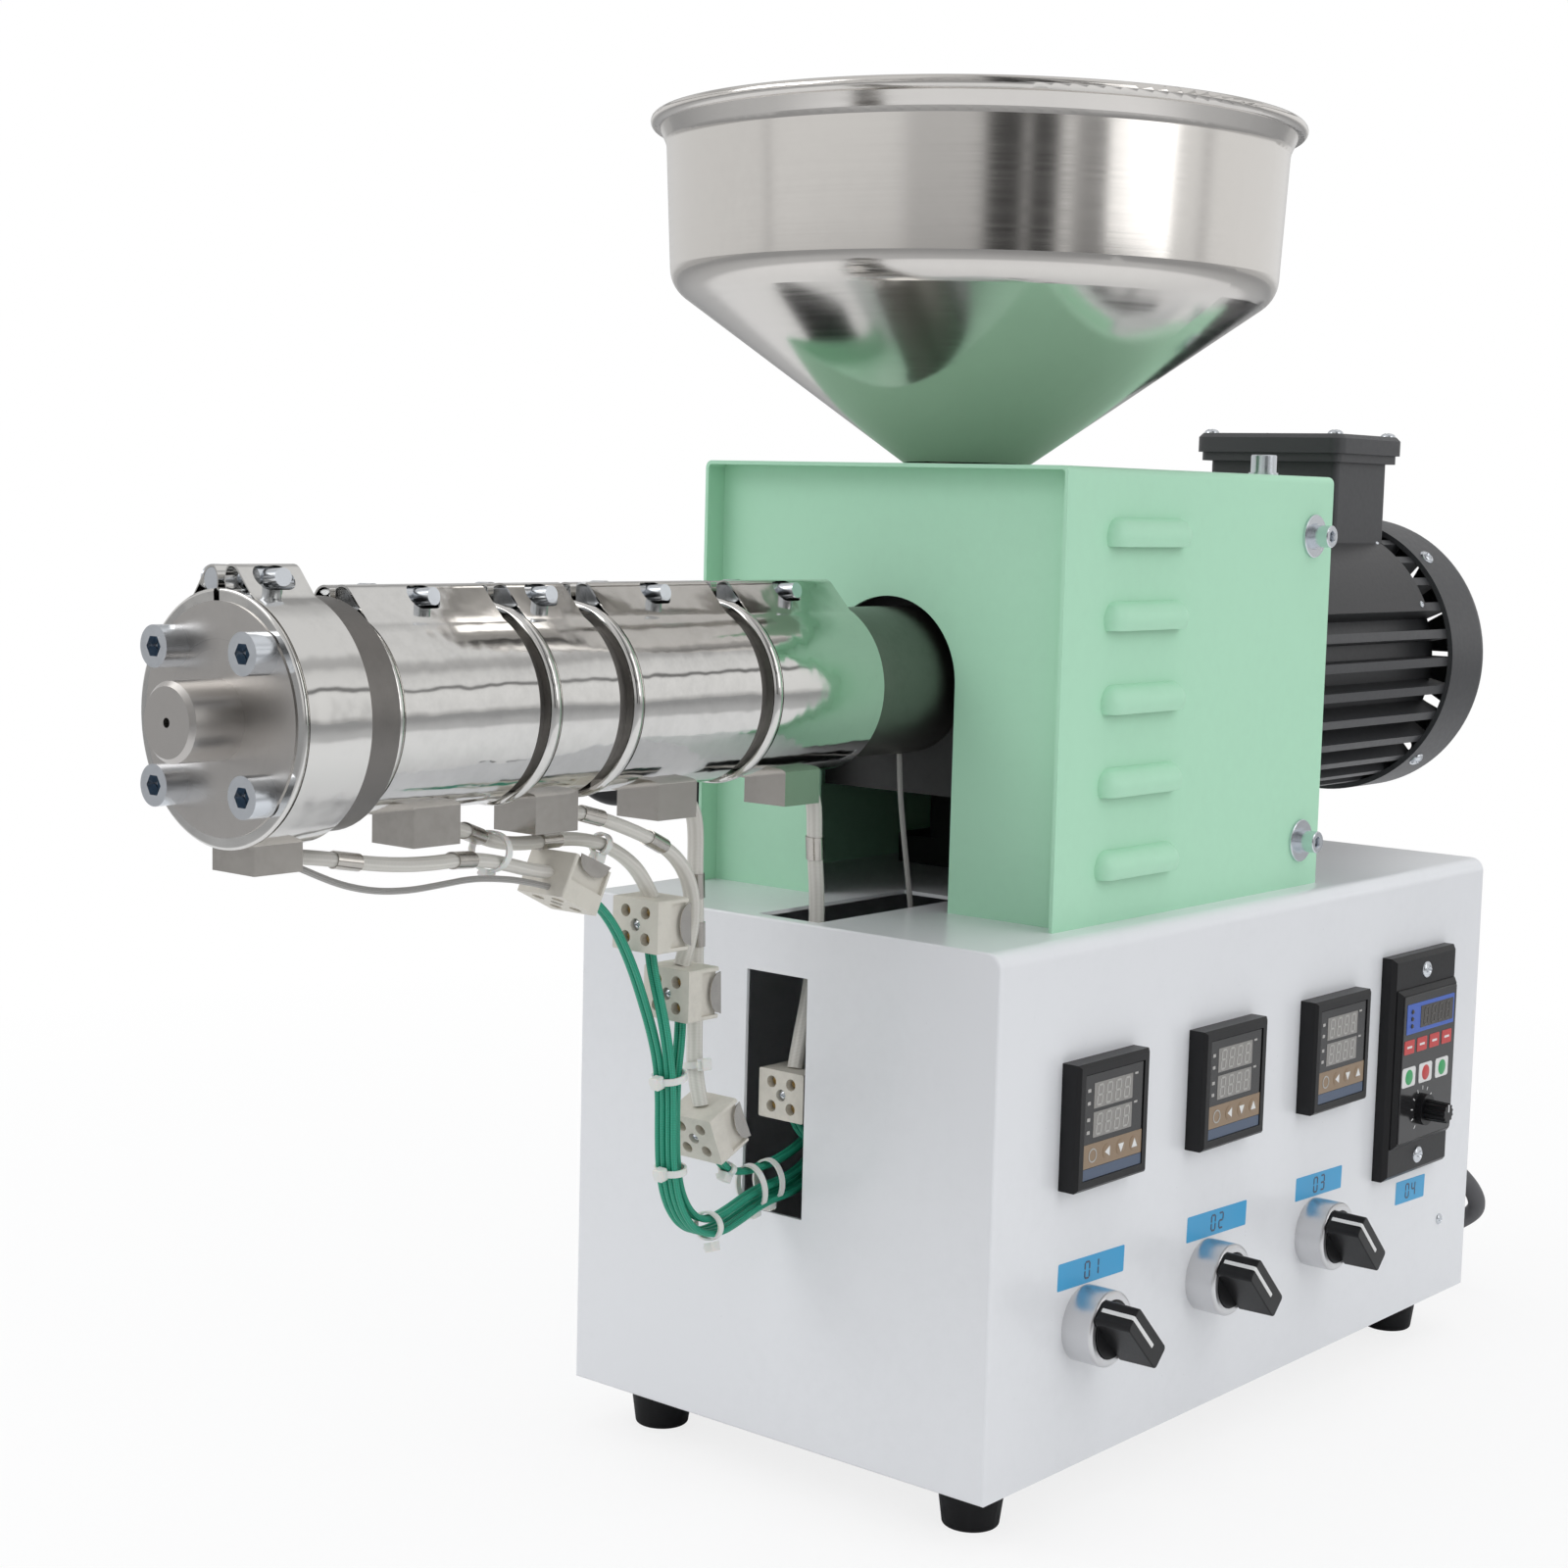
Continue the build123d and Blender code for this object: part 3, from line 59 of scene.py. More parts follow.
# In millimetres: the barrel's axis, half the cabinet's length, the feet and the outer face of the panel side
AXIS_Z = 290.8
CABINET_HALF = 193.5
FOOT_HEIGHT = 20.0
SIDE_X = 102.75

# Radians between faces that show as a sharp edge, on added pieces and on fitted copies of nodes
SHARP_ANGLE = 0.7
FITTED_SHARP_ANGLE = 0.6


# Placing: sizes below are millimetres from the cabinet's middle, front face and bottom


def row(points):
    """Millimetres from the cabinet's front face and bottom, as metres in the part's frame."""
    points = np.asarray(points, float)
    return (points + np.array([0.0, -CABINET_HALF, FOOT_HEIGHT])) / 1000


def ends(node):
    """A node's front and rear in millimetres from the cabinet's front face."""
    return [corner[1] * 1000 + CABINET_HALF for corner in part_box(node)]


def unit(vector):
    """The vector at length 1."""
    vector = np.asarray(vector, float)
    return vector / np.linalg.norm(vector)


def basis(axis, hint=(0, 0, 1)):
    """Two unit vectors across an axis, the first as near as can be to the hint."""
    axis = unit(axis)
    first = np.asarray(hint, float) - axis * np.dot(axis, hint)
    if np.linalg.norm(first) < 1e-6:
        first = np.array([1.0, 0, 0]) - axis * axis[0]
    first = unit(first)
    return first, np.cross(axis, first)


def lattice(rows, columns, wrap_rows):
    """Quads between neighbouring points of a grid that closes round its columns, and round its rows where asked."""
    r, c = np.meshgrid(np.arange(rows if wrap_rows else rows - 1), np.arange(columns), indexing="ij")
    r, c = r.ravel(), c.ravel()
    r2, c2 = (r + 1) % rows, (c + 1) % columns
    return np.stack([r * columns + c, r * columns + c2, r2 * columns + c2, r2 * columns + c], axis=1)


def put(name, data, body=MACHINE):
    """An object with the given mesh or curve, on a CAD body."""
    thing = bpy.data.objects.new(name, data)
    bpy.context.scene.collection.objects.link(thing)
    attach(thing, body)
    return thing


def smooth(mesh, angle):
    """Shades a mesh smooth up to the given angle between faces."""
    mesh.polygons.foreach_set("use_smooth", np.full(len(mesh.polygons), True))
    mesh.update()
    mesh.set_sharp_from_angle(angle=angle)


class Pile:
    """Surfaces gathered into one mesh: points, faces, a material number and two texture coordinates for each."""

    def __init__(self):
        self.points, self.faces, self.slots, self.coords = [], [], [], []
        self.count = 0

    def add(self, grid, slot=0, wrap_u=False, caps=True, coords=None):
        """A grid of points S(u, v), with its first and last rows closed by fans where caps is set."""
        rows, columns, _ = grid.shape
        points = grid.reshape(-1, 3)
        faces = [tuple(f) for f in lattice(rows, columns, wrap_u)]
        if caps:
            faces.append(tuple(range(columns - 1, -1, -1)))
            faces.append(tuple(range((rows - 1) * columns, rows * columns)))
            if volume(points, faces) < 0:
                faces = [f[::-1] for f in faces]
        if coords is None:
            u, v = np.meshgrid(np.linspace(0, 1, rows), np.linspace(0, 1, columns), indexing="ij")
            coords = np.stack([u, v], axis=-1)
        self.points.append(points)
        self.coords.append(coords.reshape(-1, 2))
        self.faces += [tuple(int(i) + self.count for i in f) for f in faces]
        self.slots += [slot] * len(faces)
        self.count += len(points)
        return self

    def finish(self, name, materials, slot, body=MACHINE):
        """The gathered mesh as one object on a CAD body."""
        mesh = bpy.data.meshes.new(name)
        points = np.concatenate(self.points)
        mesh.from_pydata(points.tolist(), [], self.faces)
        layer = mesh.uv_layers.new(name="along")
        coords = np.concatenate(self.coords)
        loops = np.empty(len(mesh.loops), dtype=np.int32)
        mesh.loops.foreach_get("vertex_index", loops)
        layer.data.foreach_set("uv", coords[loops].astype(np.float32).ravel())
        for material in materials:
            mesh.materials.append(MATERIALS[material])
        mesh.polygons.foreach_set("material_index", np.array(self.slots, dtype=np.int32))
        smooth(mesh, SHARP_ANGLE)
        return put(name, mesh, body)


def volume(points, faces):
    """Six times the signed volume inside a closed set of faces."""
    total = 0.0
    for f in faces:
        a = points[f[0]]
        for i in range(1, len(f) - 1):
            total += np.dot(a, np.cross(points[f[i]], points[f[i + 1]]))
    return total


def circle(axis, sides):
    """Angles round an axis, and the unit vectors that point there."""
    e1, e2 = basis(axis)
    angle = np.linspace(0, 2 * np.pi, sides, endpoint=False)
    return angle, np.cos(angle)[:, None] * e1 + np.sin(angle)[:, None] * e2


def turned(profile, centre, axis, sides):
    """S(u, v) = c + h(u) a + r(u) (cos v e1 + sin v e2), for a profile of (r, h) in millimetres."""
    _, ring = circle(axis, sides)
    profile = np.asarray(profile, float)
    points = np.asarray(centre, float) + profile[:, 1, None, None] * unit(axis) + profile[:, 0, None, None] * ring
    return row(points)


def socket_head(centre, axis, radius, height, socket, depth):
    """A cap screw's head: turned outside, and a socket with r(v) = s / cos(v mod 60 - 30) inside."""
    sides = 36
    angle, ring = circle(axis, sides)
    hexed = socket / 2 / np.cos((angle % (np.pi / 3)) - np.pi / 6)
    edge = radius * 0.08
    rows_of = [
        (np.full(sides, radius), 0),
        (np.full(sides, radius), height - edge),
        (np.full(sides, radius - edge), height),
        (hexed * 1.12, height),
        (hexed, height - 0.4),
        (hexed, height - depth),
        (hexed * 0.05, height - depth - 0.6),
    ]
    grid = [np.asarray(centre, float) + h * unit(axis) + r[:, None] * ring for r, h in rows_of]
    return row(np.array(grid))


def pan_head(centre, axis, radius, height, slots=2):
    """A pan head: h(r) falls as a circle's arc, and one groove or two sink where |x| or |y| is small."""
    e1, e2 = basis(axis)
    sides = 40
    u = np.linspace(0, 1, 9)
    angle = np.linspace(0, 2 * np.pi, sides, endpoint=False)
    r = radius * np.sin(u * np.pi / 2)[::-1, None] * np.ones(sides)
    h = height * np.cos(u * np.pi / 2)[::-1, None] * np.ones(sides)
    x, y = r * np.cos(angle), r * np.sin(angle)
    groove = (np.abs(x) < radius * 0.14) | ((np.abs(y) < radius * 0.14) & (slots > 1))
    h = h - np.where(groove & (r < radius * 0.62), height * 0.45, 0)
    points = np.asarray(centre, float) + h[..., None] * unit(axis) + x[..., None] * e1 + y[..., None] * e2
    return row(points)


def rounded(half_x, half_y, radius):
    """Points round a rectangle with round corners, five to a corner, counter-clockwise."""
    points = []
    for k, (sx, sy) in enumerate([(1, 1), (-1, 1), (-1, -1), (1, -1)]):
        for t in np.linspace(0, np.pi / 2, 5):
            a = t + k * np.pi / 2
            points.append((sx * (half_x - radius) + radius * np.cos(a), sy * (half_y - radius) + radius * np.sin(a)))
    return np.array(points)


def slab(centre, normal, up, width, height, depth, radius, edge=0.2):
    """S(u, v) = c + x(v) e1 + y(v) e2 + h(u) n: a rounded outline raised by depth with a small sloped edge."""
    e2 = unit(up)
    e1 = np.cross(e2, unit(normal))
    full = rounded(width / 2, height / 2, radius)
    small = rounded(width / 2 - edge, height / 2 - edge, max(radius - edge, 0.02))
    rings = [(full, 0.0), (full, depth - edge), (small, depth)]
    grid = [np.asarray(centre, float) + r[:, :1] * e1 + r[:, 1:] * e2 + h * unit(normal) for r, h in rings]
    return row(np.array(grid))


def prism(centre, normal, up, outline, depth):
    """S(u, v) = c + x(v) e1 + y(v) e2 + u d n, for an outline given point by point."""
    e2 = unit(up)
    e1 = np.cross(e2, unit(normal))
    outline = np.asarray(outline, float)
    flat = np.asarray(centre, float) + outline[:, :1] * e1 + outline[:, 1:] * e2
    return row(np.array([flat, flat + depth * unit(normal)]))


# Paths


def route_curve(name, points, resolution):
    """A NURBS curve of order 3 from the first control point to the last."""
    data = bpy.data.curves.new(name, "CURVE")
    data.dimensions = "3D"
    path = data.splines.new("NURBS")
    path.points.add(len(points) - 1)
    controls = np.concatenate([np.asarray(points, float), np.ones((len(points), 1))], axis=1)
    path.points.foreach_set("co", controls.ravel())
    path.order_u = 3
    path.use_endpoint_u = True
    path.resolution_u = resolution
    return data


def travelled(line):
    """The length of a line from its start up to each of its points."""
    return np.concatenate([[0], np.cumsum(np.linalg.norm(np.diff(line, axis=0), axis=1))])


def spline(points, step=1.5):
    """Points at even steps along the NURBS curve whose control points are the route's, and its length."""
    data = route_curve("route", points, 16)
    carrier = bpy.data.objects.new("route", data)
    mesh = bpy.data.meshes.new_from_object(carrier)
    line = np.empty(len(mesh.vertices) * 3, dtype=np.float32)
    mesh.vertices.foreach_get("co", line)
    line = line.reshape(-1, 3).astype(float)
    bpy.data.meshes.remove(mesh)
    bpy.data.objects.remove(carrier)
    bpy.data.curves.remove(data)
    run = travelled(line)
    even = np.linspace(0, run[-1], max(int(run[-1] / step), 8))
    return np.stack([np.interp(even, run, line[:, k]) for k in range(3)], axis=1), run[-1]


def frames(line, hint):
    """The hint made square to a line's tangents, at length 1, and its cross product with them."""
    tangent = np.gradient(line, axis=0)
    tangent /= np.linalg.norm(tangent, axis=1)[:, None]
    across = np.asarray(hint, float) - tangent * (tangent @ np.asarray(hint, float))[:, None]
    across /= np.linalg.norm(across, axis=1)[:, None]
    return across, np.cross(tangent, across)


def tube(line, section, hint=(1, 0, 0)):
    """S(u, v) = c(u) + x(v) N(u) + y(v) B(u), and coordinates in metres along and shares round."""
    n, b = frames(line, hint)
    section = np.asarray(section, float)
    grid = (
        line[:, None, :]
        + section[None, :, 0, None] * n[:, None, :]
        + section[None, :, 1, None] * b[:, None, :]
    )
    v = np.linspace(0, 1, len(section))
    coords = np.stack(np.meshgrid(travelled(line) / 1000, v, indexing="ij"), axis=-1)
    return row(grid), coords


def oval(a, b, count=14, offset=(0.0, 0.0)):
    """An ellipse's points, shifted by the offset."""
    angle = np.linspace(0, 2 * np.pi, count, endpoint=False)
    return np.stack([offset[0] + a * np.cos(angle), offset[1] + b * np.sin(angle)], axis=1)


# Routes of the free leads: control points near the CAD tubes, set to follow the photograph

LEADS = {
    "lead_die": [
        (0, -241, 248), (2, -227, 246.5), (5, -213, 244), (6.5, -199, 242), (6.5, -184, 241),
        (5.5, -170, 241), (4, -156, 239.5), (2, -143, 236.5), (1.1, -132.8, 233.7), (0, -123.6, 232.1),
    ],
    "lead_1": [
        (0, -173, 252), (-1, -163, 250), (-3.3, -152, 246.2), (-5, -141, 243), (-5.5, -129, 241.7),
        (-5.5, -116, 242), (-5, -104, 241.5), (-4, -93, 239), (-3, -83, 234), (-1, -75.5, 227),
        (0, -71, 218.5),
    ],
    "lead_2": [
        (0, -119, 253), (2, -109, 251.5), (4, -98, 248), (5, -87, 244), (5, -77, 240), (5, -67, 235),
        (4, -58.5, 228), (3, -53, 219.5), (2, -51, 210), (1, -51.5, 200.5), (0, -54, 191.5),
    ],
    "lead_3": [
        (0, -59, 253), (-1, -53, 252), (-3, -47.5, 249), (-5, -43, 243.5), (-6.5, -40.5, 236),
        (-7.5, -39.5, 225), (-7.5, -38.5, 210), (-7.5, -38, 194), (-7, -38.5, 178), (-5.5, -40, 163),
        (-3, -42.5, 150), (0, -41.9, 137.7),
    ],
    "lead_4": [
        (0, 10, 252), (-0.5, 16, 251), (-2, 21, 247), (-3.5, 24, 241), (-4.5, 25.5, 233), (-5, 27, 222),
        (-5, 28.5, 210), (-5, 29, 198), (-4.5, 27.5, 186), (-3.5, 24.5, 174.5), (-2, 20, 164),
        (-0.7, 15.5, 154), (0, 12, 143.5),
    ],
}
SUPPLIES = {
    "supply_1": [
        (0, -106.4, 223.8), (0, -98.5, 218.5), (0, -91, 211), (-0.3, -84.5, 202), (-0.7, -78.5, 192),
        (-1.2, -73, 181), (-0.5, -68.8, 169.5), (0.2, -65.6, 157.5), (0.2, -64, 145), (0.2, -63.8, 132),
        (0.2, -63.2, 119), (0.2, -60.3, 106.5), (0.2, -54, 96.5), (0.2, -45.5, 90.8), (0.2, -36, 89.8),
        (0.2, -26.5, 92), (0.2, -17, 95), (0.2, -7.5, 96.8), (0.2, 2, 97.2), (-1, 13, 98.6),
        (-3.5, 26, 103), (-6.5, 39, 109.5), (-7.5, 52, 117.5), (-6.5, 63, 124.5), (-0.5, 72, 130),
        (10.5, 78.5, 133.8), (22.75, 81, 135),
    ],
    "supply_2": [
        (0, -71, 199.5), (1.2, -71.2, 193.5), (3.2, -70.8, 186), (4.8, -69.4, 177), (5.5, -67.6, 168),
        (5.5, -65.3, 156.5), (5.5, -64, 144.5), (5.5, -63.8, 131.5), (5.5, -63.1, 118.5),
        (5.5, -60.1, 106), (5.5, -53.8, 96.3), (5.5, -45.3, 90.8), (5.5, -35.8, 89.8), (5.5, -26.3, 92),
        (5.5, -16.8, 95), (5.5, -7.3, 96.8), (5.5, 2.2, 97.2), (4.4, 13, 98.8), (2.8, 25, 103),
        (1.5, 37, 109), (1.5, 48, 116), (4.5, 57.5, 123), (10, 64.5, 128.5), (16.5, 68.5, 131.3),
        (22.75, 69.5, 132),
    ],
    "supply_3": [
        (0, -54, 172.5), (0.5, -54.6, 166.5), (1.4, -56.4, 159.5), (2.3, -58.5, 151.5),
        (2.85, -59.3, 142), (2.85, -59.1, 131), (2.85, -58.5, 119.5), (2.85, -56, 108.5),
        (2.85, -50.6, 99.8), (2.85, -43.6, 95.4), (2.85, -35.6, 94.8), (2.85, -26.8, 96.9),
        (2.85, -17.5, 99.8), (2.85, -8, 101.5), (2.85, 1.5, 101.9), (2, 12.5, 103.7), (1.3, 24, 108.5),
        (1.5, 34, 114.5), (4, 42.5, 120), (9, 49.5, 124.5), (16, 55.6, 126.4), (22.75, 58.5, 127),
    ],
    "supply_4": [
        (0, -34.2, 120.3), (0, -30.8, 114.3), (-0.3, -24.5, 109.8), (-0.6, -17, 108.1),
        (-1, -8.5, 107.9), (-1, 1, 108.4), (-1.5, 11.5, 110.2), (-1.5, 22, 114.2), (0, 32, 120.2),
        (3.5, 40, 126), (8.5, 47, 130.5), (15, 51.5, 133), (22.75, 53, 134),
    ],
    "supply_5": [
        (0, 12, 124.5), (2, 13, 119), (6, 16, 115.5), (11, 21, 115), (15, 27, 118.5), (17, 33.5, 124.5),
        (17.3, 39.5, 132), (19, 44, 139.5), (22.75, 47, 146),
    ],
}
PROBES = {
    "probe_die": [
        (6.5, -241, 246.5), (7, -231, 242), (8, -220, 237.5), (8.5, -207, 234.5), (8.5, -193, 233.5),
        (8, -179, 234), (7, -165, 234.5), (5.5, -151, 233), (4, -138, 230.8), (3, -125.8, 227.6),
    ],
    "probe_feed": [
        (6, 64, 262.2), (6.3, 64.4, 251), (7, 65.2, 240), (8, 66, 229), (9, 67, 218), (9.8, 68.2, 207),
        (10.3, 69.8, 196), (10.6, 72.5, 185), (10.9, 77, 174.5), (11.2, 83.5, 165), (11.6, 91.5, 157),
        (12.2, 101, 151), (13.2, 111.5, 147), (14.8, 122, 144.3), (17.2, 132, 142.7), (20, 139, 142),
        (22.75, 143, 141.8),
    ],
}
MAINS = [
    (60, 409, 55), (61, 417, 53.5), (64, 426, 50), (69, 434, 44), (75, 440.5, 36.5), (79.5, 445.5, 28.5),
    (80.5, 449, 21), (76.5, 450, 15), (67, 445, 8.5), (55, 435, -0.5), (43, 424, -9), (32, 414.5, -14),
    (22, 409.8, -15.5), (15, 408.2, -15.7), (1, 404.8, -15.7),
]
MAINS_TAIL = [(-38, 404, -8), (-52, 404.7, -9.3), (-65, 405, -10), (-78, 405.1, -10)]
BLOWER_LEAD = [
    (-122, 80, 245), (-121.5, 88, 243.5), (-119, 95.5, 239), (-114.5, 101.5, 232), (-108.5, 106, 224),
    (-102.5, 109.5, 216), (-98, 112, 208.5), (-96, 113.5, 202.4),
]

# Where each barrel band lies in the solids, and where the photograph has it
BAND_SPANS = [
    ((-221.6, -155.8), (-221.6, -160.0)),
    ((-150.5, -118.9), (-154.7, -123.1)),
    ((-111.8, -46.7), (-116.0, -50.9)),
    ((-39.7, 23.7), (-43.9, 18.9)),
]

# In radians: how far the slits stand round from the top, how far each loop moves towards its slit, and the turns from
# the slit between which that move sets in and fades out
BAND_TURN = -0.05
BARREL_LOOP_MOVE = 0.08
DIE_LOOP_MOVE = 0.04
LOOP_STOPS = (0.03, 0.12, 0.5, 1.0)

# In millimetres: the barrel's radius under its bands, and how far the clamp pins lie behind a band's front
BARREL_RADIUS = 25.0
PIN_RECESS = 10.0

# The die band: radius under its strap, where its bead ends behind its front, the share of the bead's rise that stays,
# and the places behind the front that move, before and after
DIE_SHEATH = 38.3
BEAD_END = 4.6
BEAD_SHARE = 0.5
DIE_STOPS = (4.4, 5.0)
DIE_NEW_STOPS = (1.6, 2.0)


# Settings


class ExtruderLeads(bpy.types.PropertyGroup):
    """Sizes of the barrel's bands and of the free leads."""

    band_grow: bpy.props.FloatProperty(
        name="Band growth", description="How far the bands stand beyond their solids", default=0.004, unit="LENGTH"
    )
    sleeve_width: bpy.props.FloatProperty(
        name="Sleeve width", description="Width of a white heater lead's flat sleeve", default=0.0068, unit="LENGTH"
    )
    sleeve_height: bpy.props.FloatProperty(
        name="Sleeve height", description="Thickness of a heater lead's sleeve", default=0.0048, unit="LENGTH"
    )
    wire_diameter: bpy.props.FloatProperty(
        name="Wire diameter", description="Diameter of one green supply wire", default=0.0024, unit="LENGTH"
    )
    probe_diameter: bpy.props.FloatProperty(
        name="Probe diameter", description="Diameter of a thin temperature probe lead", default=0.0022, unit="LENGTH"
    )
    mains_diameter: bpy.props.FloatProperty(
        name="Mains diameter", description="Diameter of the mains lead", default=0.0085, unit="LENGTH"
    )


class ExtruderStage(bpy.types.PropertyGroup):
    """The studio's light and the camera."""

    key_power: bpy.props.FloatProperty(
        name="Key power", description="Power of the large front light", default=10.0, unit="POWER"
    )
    fill_power: bpy.props.FloatProperty(
        name="Fill power", description="Power of the side light", default=5.0, unit="POWER"
    )
    top_power: bpy.props.FloatProperty(
        name="Top power", description="Power of the light overhead", default=9.0, unit="POWER"
    )
    lens: bpy.props.FloatProperty(
        name="Lens", description="Focal length of the camera", default=60.405, unit="CAMERA"
    )


# Materials

# How soil changes a colour: a share of it, and a little grey
SOIL_SHADE = 0.55
SOIL_LIFT = 0.01

# Threads round a braided sleeve
BRAID_TURNS = 4


def group(name, inputs, output, build):
    """A shared node group with the given inputs and one value output."""
    tree = bpy.data.node_groups.new(name, "ShaderNodeTree")
    for label, default in inputs:
        socket = tree.interface.new_socket(name=label, in_out="INPUT", socket_type="NodeSocketFloat")
        socket.default_value = default
    tree.interface.new_socket(name=output, in_out="OUTPUT", socket_type="NodeSocketFloat")
    entry = tree.nodes.new("NodeGroupInput")
    leave = tree.nodes.new("NodeGroupOutput")
    build(tree, entry, leave)


def feed(tree, socket, value):
    """Sets an input to a constant, or links an output to it."""
    if isinstance(value, bpy.types.NodeSocket):
        tree.links.new(value, socket)
    else:
        socket.default_value = value


def shader(tree, kind, **values):
    """A shader node with its inputs fed by name."""
    node = tree.nodes.new("ShaderNode" + kind)
    for label, value in values.items():
        feed(tree, node.inputs[label.replace("_", " ")], value)
    return node


def maths(tree, kind, *values):
    """A maths node on sockets or constants."""
    node = tree.nodes.new("ShaderNodeMath")
    node.operation = kind
    for socket, value in zip(node.inputs, values):
        feed(tree, socket, value)
    return node.outputs[0]


def blend(tree, first, second, share, kind="MIX"):
    """Two colours mixed by a share."""
    node = tree.nodes.new("ShaderNodeMix")
    node.data_type = "RGBA"
    node.blend_type = kind
    for label, value in (("A", first), ("B", second), ("Factor", share)):
        feed(tree, node.inputs[label], value)
    return node.outputs["Result"]


def coordinates(tree, kind="Object"):
    """Texture coordinates of the given kind."""
    return tree.nodes.new("ShaderNodeTexCoord").outputs[kind]


def separate(tree, vector):
    """The outputs X, Y and Z of a vector."""
    node = tree.nodes.new("ShaderNodeSeparateXYZ")
    tree.links.new(vector, node.inputs[0])
    return node.outputs


def paint(name):
    """A new material, its node tree and its principled shader."""
    item = bpy.data.materials.new(name)
    item.use_nodes = True
    return item, item.node_tree, item.node_tree.nodes["Principled BSDF"]


def make_groups():
    """Shared effects: fine grain, brushed streaks, turned rings and soiling."""

    def grain(tree, entry, leave):
        node = shader(tree, "TexNoise", Detail=3.0, Vector=coordinates(tree), Scale=entry.outputs["Scale"])
        feed(tree, leave.inputs[0], node.outputs["Fac"])

    def streaks(tree, entry, leave):
        scale = shader(tree, "CombineXYZ", **{label: entry.outputs[label] for label in ("X", "Y", "Z")})
        stretch = shader(tree, "Mapping", Vector=coordinates(tree), Scale=scale.outputs[0])
        node = shader(tree, "TexNoise", Scale=1.0, Detail=4.0, Roughness=0.65, Vector=stretch.outputs[0])
        feed(tree, leave.inputs[0], node.outputs["Fac"])

    def rings(tree, entry, leave):
        parts = separate(tree, coordinates(tree))
        across, pitch = parts["X"], entry.outputs["Pitch"]
        up = maths(tree, "SUBTRACT", parts["Z"], (AXIS_Z + FOOT_HEIGHT) / 1000)
        square = maths(tree, "ADD", maths(tree, "MULTIPLY", across, across), maths(tree, "MULTIPLY", up, up))
        far = maths(tree, "MULTIPLY", maths(tree, "SQRT", square), pitch)
        both = maths(tree, "ADD", far, maths(tree, "MULTIPLY", parts["Y"], pitch))
        line = shader(tree, "TexNoise", Detail=4.0, Scale=1.0)
        line.noise_dimensions = "1D"
        feed(tree, line.inputs["W"], both)
        feed(tree, leave.inputs[0], line.outputs["Fac"])

    def soil(tree, entry, leave):
        coords = coordinates(tree)
        broad = shader(tree, "TexNoise", Scale=9.0, Detail=5.0, Roughness=0.6, Vector=coords)
        fine = shader(tree, "TexNoise", Scale=160.0, Detail=3.0, Roughness=0.7, Vector=coords)
        mixed = maths(tree, "MULTIPLY", broad.outputs["Fac"], fine.outputs["Fac"])
        span = shader(tree, "MapRange", From_Min=0.22, From_Max=0.42, Value=mixed)
        feed(tree, leave.inputs[0], maths(tree, "MULTIPLY", span.outputs[0], entry.outputs["Amount"]))

    group("fine_grain", [("Scale", 400.0)], "Value", grain)
    group("brushed_streaks", [("X", 20.0), ("Y", 20.0), ("Z", 900.0)], "Value", streaks)
    group("turned_rings", [("Pitch", 2200.0)], "Value", rings)
    group("light_soil", [("Amount", 0.1)], "Mask", soil)


def raise_by(tree, shade, height, strength, distance):
    """Relief on a shader from a height."""
    raised = shader(tree, "Bump", Strength=strength, Distance=distance, Height=height)
    feed(tree, shade.inputs["Normal"], raised.outputs["Normal"])


def material(
    name, colour, rough, values, metal=0.0, effect="fine_grain", bump=0.05, far=0.0002, soil=0.0, vary=0.08, **more
):
    """A principled material whose roughness, colour and relief follow one shared effect and a soil mask."""
    item, tree, shade = paint(name)
    shade.inputs["Metallic"].default_value = metal
    for label, value in more.items():
        shade.inputs[label.replace("_", " ")].default_value = value
    source, dirt = shader(tree, "Group"), shader(tree, "Group")
    source.node_tree = bpy.data.node_groups[effect]
    for label, value in values.items():
        source.inputs[label].default_value = value
    height = source.outputs[0]
    span = shader(tree, "MapRange", To_Min=max(rough - vary, 0.02), To_Max=min(rough + vary, 1.0), Value=height)
    feed(tree, shade.inputs["Roughness"], span.outputs[0])
    raise_by(tree, shade, height, bump, far)
    dirt.node_tree = bpy.data.node_groups["light_soil"]
    dirt.inputs["Amount"].default_value = soil
    soiled = [c * SOIL_SHADE + SOIL_LIFT for c in colour]
    feed(tree, shade.inputs["Base Color"], blend(tree, (*colour, 1), (*soiled, 1), dirt.outputs[0]))
    MATERIALS[name] = item


def braided(name, colour, light, pitch, rough=0.6):
    """Woven sleeve: two slanted waves on the along and round coordinates, crossing as a plait, with painted shade in
    the hollows and a painted highlight on the crests.
    """
    item, tree, shade = paint(name)
    shade.inputs["Roughness"].default_value = rough
    parts = separate(tree, coordinates(tree, "UV"))
    run = maths(tree, "MULTIPLY", parts["X"], pitch)
    turns = maths(tree, "MULTIPLY", parts["Y"], 2 * math.pi * BRAID_TURNS)
    one = maths(tree, "SINE", maths(tree, "ADD", run, turns))
    two = maths(tree, "SINE", maths(tree, "SUBTRACT", run, turns))
    height = maths(tree, "MULTIPLY_ADD", maths(tree, "MULTIPLY", one, two), 0.5, 0.5)
    # The darker colour in the weave's hollows and the lighter one on its crests are painted shade and highlight
    feed(tree, shade.inputs["Base Color"], blend(tree, (*colour, 1), (*light, 1), height))
    raise_by(tree, shade, height, 0.5, 0.0003)
    MATERIALS[name] = item


def numbered(name, count):
    """Node names that end in a number from 1."""
    return [f"{name}_{number}" for number in range(1, count + 1)]


